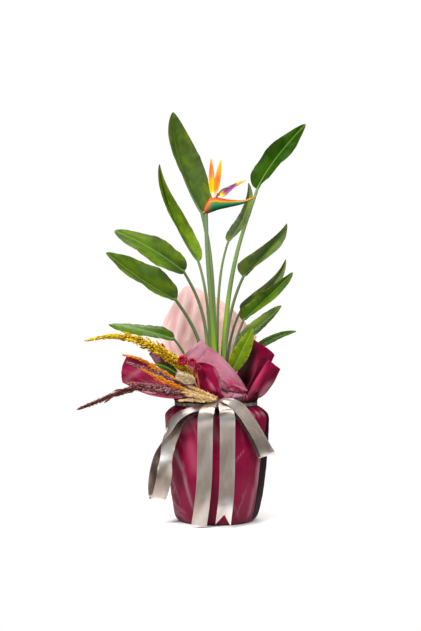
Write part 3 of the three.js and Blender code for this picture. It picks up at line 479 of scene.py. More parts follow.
# Number of waves along the blade, and height of each kind in millimetres
FRILLS = ((5.3, 1.0), (8.7, 0.6), (13.1, 0.35))
VEIN_LEAN = -0.62
VEIN_PITCH = 3.2


def blade_outline(s):
    """A long oval with a rounded base and a drawn-out tip, 1 at its widest."""
    return np.maximum(np.sin(math.pi * s**0.76), 0) ** 0.66


def rib_of(spec):
    return through(spec["joint"], spec["mid"], spec["tip"])


def faces_of(spec, forward, v):
    """Where a blade's upper side looks, along its rib."""
    front = across_of(spec["face"], forward)
    turn = np.radians(mix(*spec["turns"], v))[:, None]
    return front * np.cos(turn) + np.cross(forward, front) * np.sin(turn)


def blade_grid(spec, outline, rows, half_columns, seed=0):
    """Middle points of a blade, as the part's source places them, with a finer wave at the edge and
    halves that flatten towards it. Also its marks: the distance along the rib, the distance away
    from it, the share of the width and the share of the length."""
    rng = np.random.default_rng(seed)
    rib = rib_of(spec)
    s = np.linspace(0, 1, rows)
    rise = mix(s, 0.5 - 0.5 * np.cos(math.pi * s), 0.5)
    forward = tangent(rib, rise)
    up = faces_of(spec, forward, rise)
    right = np.cross(forward, up)
    middle = rib(rise)
    rise = rise[:, None]
    a = np.linspace(0, 1, half_columns + 1)[1:] ** 0.9
    across = np.concatenate([-a[::-1], [0.0], a])
    half = (across > 0).astype(int)
    share, way = np.abs(across)[None], np.sign(across)[None]
    swell = outline(rise ** np.array(spec["early"], float)[half])
    width = 0.9 + np.array(spec["halves"])[half] * swell
    base_fold, tip_fold = np.radians([spec["folds"], spec.get("tip_folds", spec["folds"])])
    fold = mix(base_fold[half][None], tip_fold[half][None], rise)
    reach = share * width
    ripple = spec["wave"] * np.sin(2 * math.pi * (spec["waves"] * rise + 0.3 * half))
    lift = ripple * share**2 * swell
    for count, height in FRILLS:
        phase = rng.uniform(0, 2 * math.pi, 2)[half]
        wave = np.sin(2 * math.pi * count * rise + phase)
        lift += spec["frill"] * height * wave * share**4 * swell
    bow = spec["camber"] * width * 4 * share * (1 - share)
    groove = 0.7 * bell(reach, 0, 2.5)
    out = way * (reach * np.cos(fold) - bow * np.sin(fold))
    height = reach * np.sin(fold) + bow * np.cos(fold) + lift - groove
    grid = middle[:, None] + right[:, None] * out[..., None] + up[:, None] * height[..., None]
    return grid, dict(along=lengths(middle)[:, None], offset=way * reach, share=share, rise=rise)


def leaf_solids(spec, seed):
    """The blade, and the stalk that goes on as a ridge under its rib."""
    rib = rib_of(spec)
    grid, marks = blade_grid(spec, blade_outline, BLADE_ROWS, BLADE_HALF_COLUMNS, seed)
    blade = thin(grid, mix(0.9, 0.45, marks["share"]), stalk=0.0, **marks)
    start = np.array([*spec["foot"], SOIL_TOP - STEM_DEPTH], float)
    end = np.array(spec["joint"], float)
    height = end[2] - start[2]
    arrive = unit(unit(end - start) + tangent(rib, [0.0])[0])
    bow = np.array([*spec["bow"], spec["rise"] * height])
    line = bezier(start, start + bow, end - arrive * 0.2 * height, end + arrive * 14)
    t = np.linspace(0, 0.965, 60)
    w = np.linspace(0.06, 0.985, 44)
    low, high = spec["stalk"]
    ridge = 0.42 + (high * 0.92 - 0.42) * (1 - w) ** 0.95
    face = faces_of(spec, tangent(rib, w), w)
    points = np.concatenate([line(t), rib(w) - face * (ridge * 0.72)[:, None]])
    radius = np.concatenate([mix(low, high, t), ridge])
    share = np.concatenate([t, 1 + w])
    fine = spline(np.column_stack([points, radius, share]))(np.linspace(0, 1, 120))
    stalk = tube(fine[:, :3], fine[:, 3], 14, face[0],
                 stalk=fine[:, 4] * 0.499 + 0.001, along=lengths(fine[:, :3]))
    return [blade, stalk]


def leaf_paint(name, spec, seed):
    """A waxy blade with veins, patches, a margin with wear and a pale rib, and its stalk."""
    top, under, stem = spec["top"], spec["under"], spec["stem"]
    paint = Paint(name, specular_ior_level=spec["gloss"], specular_tint=(0.8, 1.0, 0.5),
                  subsurface_weight=0.04, subsurface_scale=0.003)
    along, offset, side = paint.value("along"), paint.value("offset"), paint.value("side")
    share, stalk = paint.value("share"), paint.value("stalk")
    away = paint.math("ABSOLUTE", offset)
    vein = paint.plus(along, paint.times(away, VEIN_LEAN))
    streaks = paint.grain(3, vein, 0.085, away, 0.012, seed)
    upper = paint.ramp(streaks, (0.32, shade(top, 0.82)), (0.5, top), (0.72, shade(top, 1.2)))
    lower = paint.ramp(streaks, (0.3, shade(under, 0.85)), (0.7, shade(under, 1.15)))
    blade = paint.blend(side, lower, upper)
    pale_veins = paint.span(paint.grain(1.5, vein, 0.3, away, 0.01, seed + 9), 0.6, 0.72, 0, 0.3)
    pale = blended(top, (0.26, 0.38, 0.09), 0.5)
    blade = paint.blend(paint.times(pale_veins, side), blade, pale)
    patches = paint.span(paint.noise(15), 0.35, 0.65, 0, 0.65)
    blade = paint.blend(patches, blade, shade(top, 0.42))
    glow = paint.grain(2, along, 0.016, offset, 0.03, seed + 4)
    red, green, blue = top
    warm = (1.75 * red, 1.4 * green, 0.3 * blue)
    blade = paint.blend(paint.span(glow, 0.47, 0.62, 0, 0.75), blade, warm)
    wear_and_sheen = (red + 0.01, 0.62 * green + 0.01, 1.2 * blue + 0.01)
    edge = paint.times(paint.span(share, 0.45, 1.0, 0, 0.8), paint.span(glow, 0.3, 0.55, 1, 0.2))
    blade = paint.blend(edge, blade, wear_and_sheen)
    rib = paint.span(away, 0.25 * spec["rib"], spec["rib"], 0.85, 0)
    blade = paint.blend(rib, blade, blended(top, (0.3, 0.45, 0.1), 0.6))
    margin = paint.span(share, 0.965, 0.995, 0, 0.25)
    blade = paint.blend(margin, blade, (0.23, 0.21, 0.06))
    dry_tip = paint.span(paint.value("rise"), 0.972, 0.995, 0, 0.8)
    blade = paint.blend(dry_tip, blade, (0.09, 0.055, 0.02))
    body = paint.ramp(stalk, (0.12, (0.26, 0.42, 0.02)), (0.21, shade(stem, 1.15)), (0.45, stem),
                      (0.52, shade(stem, 0.95)), (0.98, top))
    fibre = paint.span(paint.grain(3, along, 0.01, away, 1.0, seed), 0.3, 0.7, 0, 0.3)
    body = paint.blend(fibre, body, shade(stem, 0.65))
    is_stalk = paint.math("GREATER_THAN", stalk, 0.0005)
    paint.set("Base Color", paint.blend(is_stalk, blade, body))
    veins = paint.plus(paint.waves(vein, VEIN_PITCH), paint.times(streaks, 3.0))
    veins = paint.times(veins, paint.math("SUBTRACT", 1.0, is_stalk))
    paint.bump(paint.plus(veins, paint.times(paint.noise(90, 2), 0.8)), spec["relief"], 0.35)
    paint.set("Roughness", paint.span(paint.noise(60, 2), 0.3, 0.7, 0.36, 0.5))
    return paint.material


for number, (name, own) in enumerate(LEAVES.items()):
    spec = {**LEAF, **own}
    piece(name + "_blade_and_stalk", leaf_solids(spec, 40 + number),
          leaf_paint(name, spec, number * 3.7), [name])


# Flower

SCAPE_FOOT, SCAPE_NECK, SCAPE_RADII = (3, -13), (-27, -30, 786), (7, 5)
BEAK_Y = -32
# x along the beak, the height of its middle, half its height and half its width
BEAK = [
    (-29, 806, 13, 5), (-19, 815, 21, 8), (-6, 818, 20, 9.5), (10, 819, 15, 9.5),
    (36, 820, 10, 8), (69, 823.5, 5.5, 5.2), (88, 830, 3.4, 3), (103, 839, 1, 1),
]
SEPAL = dict(BLADE, frill=0.3, camber=0.12)
SEPALS = [
    dict(SEPAL, joint=(-9, -32, 836), mid=(-12, -34, 882), tip=(-12, -33, 936),
         face=(0.2, -0.95, 0), halves=(9, 8.5), folds=(26, 26)),
    dict(SEPAL, joint=(-3, -33, 836), mid=(6, -37, 882), tip=(12.5, -38, 931),
         face=(-0.3, -0.9, 0.1), halves=(9.5, 8), folds=(26, 26)),
    dict(SEPAL, joint=(-5, -31, 836), mid=(28, -30, 852), tip=(77, -32, 880),
         face=(-0.3, -0.75, 0.6), halves=(7, 7), folds=(34, 34)),
]
ARROW = dict(BLADE, frill=0.2, camber=0.2, joint=(13, -38, 838), mid=(36, -41, 856),
             tip=(66, -38, 877), face=(-0.2, -0.9, 0.35), halves=(10, 9), folds=(22, 22))
ARROW_STEM = [(1, -36, 833), (4, -38.5, 840), (9, -41, 848), (16, -43.5, 855), (24, -44, 859),
              (34, -42.5, 860)]
FRONT = (0, -1, 0)


def scape_solids():
    """The flower's stalk, and the beak that it ends in."""
    start = np.array([*SCAPE_FOOT, SOIL_TOP - STEM_DEPTH], float)
    end = np.array(SCAPE_NECK, float)
    line = bezier(start, start + UP * 260, end + np.array([2, 2, -170]), end + np.array([1, 0, 22]))
    t = np.linspace(0, 1, 70)
    stalk = tube(line(t), mix(*SCAPE_RADII, t), 16, FRONT, lip=-1.0, share=t, beak=0.0)
    t = np.linspace(0, 1, 90)[:, None]
    x, z, tall, wide = np.moveaxis(spline(BEAK)(t), -1, 0)
    angle = around(40)[None]
    lip = np.cos(angle)
    pinch = 1 - 0.35 * lip - 0.5 * smooth(0.82, 1.0, lip)
    ridge = 1 + 0.05 * bell(lip, -1, 0.2)
    rings = np.stack(np.broadcast_arrays(
        x + 0.25 * tall * lip,
        BEAK_Y - wide * pinch * np.sin(angle) * 0.85,
        z + tall * lip * ridge - 1.2 * bell(lip, 1, 0.02)), -1)
    return [stalk, skinned(rings, lip=lip, share=t, beak=1.0)]


def spathe_paint():
    paint = Paint("spathe", roughness=0.45, specular_ior_level=0.2)
    share = paint.value("share")
    level = paint.span(paint.wander(paint.value("lip"), 60, 0.24), -1, 1)
    side = paint.ramp(level, (0.0, (0.03, 0.03, 0.01)), (0.1, (0.008, 0.07, 0.02)),
                      (0.34, (0.006, 0.13, 0.045)), (0.48, (0.02, 0.17, 0.06)),
                      (0.58, (0.05, 0.16, 0.015)), (0.66, (0.50, 0.26, 0.005)),
                      (0.76, (0.80, 0.10, 0.001)), (1.0, (0.72, 0.05, 0.001)))
    red = paint.ramp(level, (0.05, (0.14, 0.03, 0.02)), (0.25, (0.55, 0.06, 0.015)),
                     (1.0, (0.80, 0.06, 0.001)))
    side = paint.blend(paint.span(share, 0.02, 0.27, 1, 0), side, red)
    side = paint.blend(paint.span(share, 0.72, 1.0, 0, 0.75), side, (0.55, 0.22, 0.01))
    stem = paint.ramp(share, (0.26, (0.22, 0.38, 0.02)), (0.5, (0.13, 0.21, 0.05)),
                      (0.93, (0.14, 0.195, 0.095)), (1.0, (0.12, 0.15, 0.09)))
    paint.set("Base Color", paint.blend(paint.value("beak"), stem, side))
    streak = paint.node("VectorMath", {0: paint.place(), 1: (0.2, 1, 1)}, operation="MULTIPLY")
    paint.bump(paint.noise(420, 2, streak), 0.25, 0.3)
    return paint.material


piece("flower_stalk_and_beak", scape_solids(), spathe_paint(), ["flower_stalk_and_spathe"])


def sepal_outline(s):
    return np.maximum(np.sin(math.pi * s**0.9), 0) ** 0.8 * (1 - 0.2 * s)


def arrow_outline(s):
    return np.where(s < 0.2, 0.5 + 3.2 * s, 1.32 * np.maximum(1 - s, 0) ** 0.8 * (1 - 0.15 * s))


def ridge_on(spec, w, away, thick, **attributes):
    """A ridge along the shares w of a blade's rib, which thins out towards the tip."""
    rib = rib_of(spec)
    line = rib(w) + across_of(spec["face"], tangent(rib, w)) * away
    return tube(line, thick * (1 - w) ** 0.5 + 0.3, 8, spec["face"], rise=w, **attributes)


def sepal_solids():
    made = []
    for number, spec in enumerate(SEPALS):
        which = number / 2
        grid, marks = blade_grid(spec, sepal_outline, 60, 9, number)
        made.append(thin(grid, 0.9, which=which, **marks))
        made.append(ridge_on(spec, np.linspace(0, 0.95, 40), -0.8, 1.5, share=0.1, which=which))
    base = np.array([[-7, -32, z] for z in np.linspace(827, 848, 12)], float)
    made.append(tube(base, 3.9 * np.linspace(1, 0.7, 12), 14, FRONT, rise=0.02))
    return made


def sepal_paint():
    paint = Paint("sepals", roughness=0.5, specular_ior_level=0.2)
    rise, share = paint.value("rise"), paint.value("share")
    level = paint.wander(rise, 80, 0.16)
    left = paint.ramp(level, (0.04, (0.90, 0.76, 0.62)), (0.14, (0.95, 0.62, 0.12)),
                      (0.24, (0.90, 0.56, 0.0)), (0.48, (0.88, 0.46, 0.0)),
                      (0.6, (0.85, 0.22, 0.06)), (0.82, (0.78, 0.16, 0.02)),
                      (0.97, (0.72, 0.50, 0.06)))
    right = paint.ramp(level, (0.04, (0.90, 0.66, 0.40)), (0.2, (0.85, 0.28, 0.0)),
                       (0.5, (0.80, 0.16, 0.02)), (0.7, (0.85, 0.34, 0.01)),
                       (0.85, (0.82, 0.44, 0.01)), (0.97, (0.66, 0.50, 0.06)))
    body = paint.blend(paint.span(paint.value("which"), 0.1, 0.4), left, right)
    rim = paint.times(paint.span(share, 0.6, 1.0, 0, 0.6), paint.span(rise, 0.4, 0.55, 0.15, 1))
    body = paint.blend(rim, body, (0.72, 0.10, 0.005))
    grain = paint.grain(3, rise, 3.0, paint.value("offset"), 1.6)
    body = paint.blend(paint.span(grain, 0.35, 0.7, 0, 0.15), body, (0.80, 0.12, 0.01))
    paint.set("Base Color", body)
    paint.bump(grain, 0.4, 0.4)
    return paint.material


piece("flower_three_sepals", sepal_solids(), sepal_paint(), ["flower_sepals"])


def arrow_solids():
    grid, marks = blade_grid(ARROW, arrow_outline, 60, 8, 5)
    fin = ridge_on(ARROW, np.linspace(0.02, 0.97, 40), 0.9, 1.7)
    t = np.linspace(0, 1, 40)
    stem = tube(spline(ARROW_STEM)(t), mix(1.5, 0.7, t), 10, FRONT, stem=mix(1, 0.6, t))
    return [thin(grid, 1.0, **marks), fin, stem]


def arrow_paint():
    paint = Paint("arrow_petal", roughness=0.5, specular_ior_level=0.25)
    level = paint.wander(paint.value("rise"), 90, 0.12)
    body = paint.ramp(level, (0.0, (0.80, 0.66, 0.12)), (0.1, (0.62, 0.42, 0.01)),
                      (0.18, (0.45, 0.22, 0.06)), (0.26, (0.24, 0.05, 0.16)),
                      (0.66, (0.17, 0.03, 0.13)), (0.76, (0.20, 0.06, 0.04)),
                      (0.84, (0.70, 0.42, 0.01)))
    body = paint.blend(paint.span(paint.value("share"), 0.75, 1.0, 0, 0.4), body, (0.27, 0.09, 0.20))
    body = paint.blend(paint.value("stem"), body, (0.05, 0.035, 0.12))
    paint.set("Base Color", body)
    paint.bump(paint.noise(500, 2), 0.2, 0.3)
    return paint.material


piece("flower_arrow_shaped_petal", arrow_solids(), arrow_paint(), ["flower_arrow_petal"])


# Wrapping

# Radius and height of the wrapped pot's outline
WRAP_PROFILE = [
    (92, 0), (104, 8), (115, 52), (126, 165), (132.3, 250), (133.2, 268), (131.5, 276),
    (126, 283), (118, 289), (110, 294), (106, 299), (106, 332),
]
# Soft pleats that the sheet makes over the pot: angle, depth and width in degrees
PLEATS = [
    (212, 2.4, 13), (238, -2, 13), (292, 1.6, 13), (318, -2.6, 13), (40, -2, 13), (88, 2, 13),
    (140, -2.2, 13), (186, -2.5, 9), (0, 7, 13),
]
# Folds of the body: angle and height of the two ends, height, width, steep side, and shares of
# painted highlight (pale), painted shade (dark) and painted sheen (lit)
FOLDS = [
    (213, 206, 229, 132, 3.0, 7.5, -1, 1.3), (227, 138, 240, 40, 2.8, 7, -1, 1.1),
    (197, 134, 217, 66, 2.6, 5, 1, 0.95), (192, 64, 228, 28, 2.4, 10, 1, 0.3, 0, 0.5),
    (194, 46, 232, 4, 2.4, 14, -1, 0.4, 0, 0.5), (205, 110, 214, 70, -2.2, 6, 0, 0, 0.1),
    (248, 284, 228, 236, 1.8, 30, 0, 0.5, 0, 0.3), (236, 278, 242, 246, -1.4, 7, 0, 0, 0.35),
    (196, 278, 192, 236, 0, 30, 0, 1.0), (238, 226, 246, 130, 0, 34, 0, 0.2, 0, 0.35),
    (216, 224, 222, 262, -1.2, 10, 0, 0, 0.6), (222, 236, 232, 190, 1.8, 7, 1, 0.2),
    (216, 281, 264, 284, 0, 8, 0, 0.75), (262, 285, 277, 285, 0, 8, 0, 0.6),
    (262, 282, 272, 215, 0, 20, 0, 0.35, 0, 0.2), (232, 120, 246, 20, 1.6, 8, 0, 0.1),
    (243, 268, 250, 215, 1.4, 5, 1, 0.3), (305.2, 195, 292, 166, 0.9, 1.7, 0, 0.8),
    (310.5, 98, 295, 18, 1.3, 1.9, 0, 0.7), (297, 256, 302, 214, 1.4, 6, 0, 0.15),
    (316, 268, 319, 190, 1.6, 6, -1, 0.2), (284, 262, 287, 190, 1.2, 6, 0, 0.1),
    (290, 60, 304, 4, 1.6, 8, 1, 0.25, 0, 0.2), (316, 284, 344, 280, 0, 8, 0, 0.6),
    (331, 182, 326, 84, 3.0, 10, 1, 0.9), (326, 104, 316, 2, 2.6, 12, 1, 0.8),
    (20, 250, 48, 40, 3.0, 9, 1, 0.3), (62, 230, 84, 90, 2.6, 8, -1, 0.3),
    (100, 262, 118, 120, 3.0, 9, 1, 0.3), (150, 240, 168, 60, 2.8, 9, -1, 0.3),
    (172, 220, 190, 90, 2.4, 8, 1, 0.4), (128, 120, 140, 20, 2.2, 8, 0, 0.2),
    (70, 90, 96, 14, 2.0, 8, 1, 0.2), (36, 120, 50, 20, 2.0, 7, -1, 0.3),
    (82, 250, 76, 180, 1.4, 2.5, 0, 0.6), (136, 210, 146, 130, 1.4, 2.5, 0, 0.6),
]
# Millimetres to a degree of the wrapped pot's side
PER_DEGREE = math.radians(1) * 125
NECK_RADIUS = 106


def pleats(angle):
    depth = 0
    for at, deep, wide in PLEATS:
        depth = depth + deep * bell((angle - at + 180) % 360 - 180, 0, wide)
    return depth


def fold_relief(x, z, folds, lap=0.0):
    """How far drawn folds stand out, and how much painted highlight (pale), painted shade (dark) and
    painted sheen (lit) they carry, at places x, z. A fold is a line's two ends, how high, how wide,
    its steep side, and those three shares, without the zeros at its end. lap is the length of one
    turn where x goes round the pot."""
    out = np.zeros(np.broadcast(x, z).shape)
    shares = [np.zeros(out.shape) for _ in range(3)]
    for x0, z0, x1, z1, high, wide, side, *rest in folds:
        right = x - x0
        if lap:
            right = (right + lap / 2) % lap - lap / 2
        line = np.array([x1 - x0, z1 - z0], float)
        length = np.hypot(*line)
        line /= length
        along = (right * line[0] + (z - z0) * line[1]) / length
        away = right * line[1] - (z - z0) * line[0]
        steep = wide * np.where(away * side > 0, 0.35, 1.0) if side else wide
        taper = smooth(-0.12, 0.3, along) * smooth(1.15, 0.75, along)
        out += high * taper * np.exp(-((away / steep) ** 2))
        spread = taper * np.exp(-((away / (0.45 * wide + 0.6)) ** 2))
        for k, share in enumerate(rest):
            shares[k] = np.maximum(shares[k], share * spread)
    return out, *shares


def gathers(angle, count, seed, sharp=1.0):
    """Uneven pleats round the neck, between -1 and 1, sharper on their crests."""
    rng = np.random.default_rng(seed)
    turn = np.radians(angle)
    shift = sum(rng.uniform(0.2, 0.5) * np.sin(k * turn + rng.uniform(0, 6.3)) for k in (2, 3, 5, 7))
    wave = np.sin(count * turn + 1.6 * shift)
    fine = 0.45 * np.sin(2.3 * count * turn + 3 * shift + rng.uniform(0, 6.3))
    crest = np.sign(wave) * np.abs(wave) ** sharp
    return (crest + fine * (0.6 + 0.4 * np.sin(3 * turn))) / 1.3


def wobble(x, y, seed, size):
    """Soft even relief, about -1 to 1, with features of about that size."""
    rng = np.random.default_rng(seed)
    out = 0
    for _ in range(9):
        way = rng.uniform(0, 2 * math.pi)
        pitch = 2 * math.pi / (size * rng.uniform(0.7, 1.8))
        out = out + np.sin((x * math.cos(way) + y * math.sin(way)) * pitch + rng.uniform(0, 6.3))
    return out / 4.5


WRAP_COLUMNS = 460
OUTSIDE_ROWS, INSIDE_ROWS, BASE_RINGS = 150, 37, 14
OVERLAP = 328.5
FILM_THICK = 0.5
SHARP = 60


def wrap_body_solid():
    """The gathered body: outside, rolled over at the top of the neck, and inside."""
    down = np.concatenate([np.linspace(0, 1, OUTSIDE_ROWS), np.linspace(1, 0, INSIDE_ROWS)[1:]])
    radius, z = spline(WRAP_PROFILE)(down).T[..., None]
    angle = np.linspace(0, 360, WRAP_COLUMNS, endpoint=False)[None]
    inside = smooth(4, 30, z) * smooth(288, 272, z)
    relief = pleats(angle) * np.sin(math.pi * np.clip(z, 0, 250) / 330) * smooth(288, 262, z)
    x = angle * PER_DEGREE
    drawn = [(a * PER_DEGREE, low, b * PER_DEGREE, *rest) for a, low, b, *rest in FOLDS]
    folds, pale, dark, lit = fold_relief(x, z, drawn, 360 * PER_DEGREE)
    relief = relief + folds * inside
    # The overlap on the right: a crest, and behind it a broad pleat in painted shade
    line = OVERLAP + 16 * smooth(90, 300, z) - 3 * smooth(60, 20, z) + 0.4 * np.sin(z / 42)
    behind = (angle - line + 180) % 360 - 180
    pleat = smooth(0, 2.5, behind) * smooth(56, 30, behind)
    crest = 2.2 * bell(behind, -1, 2.6) - 1.2 * bell(behind, 3, 2.5)
    relief = relief + crest * smooth(4, 24, z) * smooth(288, 262, z)
    dark = np.maximum(dark, pleat * smooth(2, 12, z) * smooth(292, 276, z))
    # Painted shade towards the bottom of the body
    dark = np.maximum(dark, 0.48 * smooth(180, 20, z))
    relief = relief + 0.9 * wobble(x, z, 3, 70) * inside + 0.4 * wobble(x, z, 4, 26) * inside
    pulled = smooth(264, 290, z)
    gather = gathers(angle, 30, 7, 0.8)
    deep = smooth(-0.05, -0.7, gather)
    gather = gather * (2.6 * pulled + 1.1 * smooth(228, 270, z) * (1 - pulled))
    held = smooth(294, 299, z) * smooth(313, 308, z)
    gather = gather * (1 - 0.45 * held) * (1 - 0.7 * smooth(309, 313, z))
    gather = gather + 1.2 * bell(z, 292, 5) - 1.2 * held
    # Painted shade in the valleys of the gathers and over the top of the neck
    dark = np.maximum(dark, 0.85 * deep * smooth(272, 286, z))
    dark = np.maximum(dark, 0.8 * smooth(290, 300, z))
    pale = pale * smooth(4, 30, z) * smooth(294, 284, z)
    # A painted highlight along the shoulder, outside the valleys
    pale = np.maximum(pale, 0.35 * bell(z, 277, 5) * (1 - deep))
    tucks = gathers(angle, 22, 8) * 1.3 * smooth(10, 0, z)
    reach = radius + relief + gather + tucks
    level = np.maximum(z + 0.15 * gather * pulled, 0)
    outside = np.arange(len(down))[:, None] < OUTSIDE_ROWS
    wall = FILM_THICK + 1.5 * smooth(296, 306, z)
    rings = polar(angle, np.where(outside, reach, reach - wall), level)
    rings[0, :, 2] = 0
    rings[-1, :, 2] = FILM_THICK
    ring = np.linspace(0.985, 0, BASE_RINGS)[1:, None]
    base = polar(angle, radius[0] * ring, 0.35 * (1 - ring) ** 0.5)
    floor = polar(angle, radius[0] * 0.97 * ring, 1.1)
    ends = np.zeros((len(ring), WRAP_COLUMNS))
    marks = dict(dark=dark, pale=pale, lit=lit * inside)
    marks = {name: np.concatenate([ends, share, ends]) for name, share in marks.items()}
    side = np.concatenate([ends[:, :1] + 1, outside * 1.0, ends[:, :1]])
    return skinned(np.concatenate([base[::-1], rings, floor]), side=side, **marks)


# A flap's neck gives the angles between which it leaves the neck, how far outside the neck it
# starts, and where they aren't the usual ones, the number of points in its first two rows and their
# levels. Its rows go on outwards, each from one edge to the other. ripples are the height and
# number of its ripples, curl how far its end rolls, crumple how crumpled it is, size its points
# across and along, and folds its drawn folds, placed by the x and z of their ends.
FLAP = dict(curl=0.0, crumple=1.2, size=(72, 64), thick=0.45, folds=())
# Height of a sheet's first two rows, and how much further out each stands
NECK_LEVELS = ((309, 0), (326, 1.4))


def neck_rows(low, high, out, points=5, levels=NECK_LEVELS):
    """A sheet's first two rows, which stand beside the neck from angle low to angle high."""
    turn = np.linspace(low, high, points)
    return [polar(turn, NECK_RADIUS + out + up, z) for z, up in levels]


def flap_solid(own):
    """A flap with ripples that run out from the gathers, and drawn folds placed by x and z."""
    spec = {**FLAP, **own}
    columns, steps = spec["size"]
    ripple, ripples = spec["ripples"]
    crumple, seed = spec["crumple"], spec["seed"]
    u = np.linspace(0, 1, columns)
    v = np.linspace(0, 1, steps)
    rows = [*neck_rows(*spec["neck"]), *spec["rows"]]
    grid = spline(np.stack([spline(row)(u) for row in rows]))(v)
    du = unit(np.gradient(grid, axis=1))
    dv = unit(np.gradient(grid, axis=0))
    normal = unit(np.cross(du, dv))
    rng = np.random.default_rng(seed)
    phase = rng.uniform(0, 6.3, 4)
    u, v = u[None], v[:, None]
    fan = np.sin(2 * math.pi * ripples * u + phase[0])
    fan = fan + 0.6 * np.sin(2 * math.pi * ripples * 1.7 * u + phase[1] + 2 * v)
    relief = ripple * fan * mix(1.0, 0.35, smooth(0.3, 1.0, v)) * smooth(0.0, 0.12, v)
    drawn = 2 * math.pi * 3.1 * ripples * u
    gather = np.sin(drawn + phase[2] + 1.3 * np.sin(drawn / 4.3 + phase[3]))
    relief = relief + 1.1 * gather * smooth(0.5, 0.16, v) * smooth(0, 0.1, v)
    free = crumple * smooth(0.05, 0.35, v)
    size = np.linalg.norm(grid[-1, -1] - grid[-1, 0])
    relief = relief + free * wobble(u * size, v * size, seed + 1, 34)
    relief = relief + 0.35 * free * wobble(u * size, v * size, seed + 2, 13)
    relief = relief + spec["curl"] * smooth(0.8, 1.0, v) ** 2
    high, pale, dark, lit = fold_relief(grid[..., 0], grid[..., 2], spec["folds"])
    # Painted shade in the valleys of the gathers and all along the neck
    dark = np.maximum(dark, 0.7 * smooth(-0.2, -0.9, gather) * smooth(0.34, 0.1, v))
    dark = np.maximum(dark, 0.95 * smooth(0.3, 0.06, v))
    grid = grid + normal * (relief + high)[..., None]
    return thin(grid, spec["thick"], pale=pale, dark=dark, lit=lit)


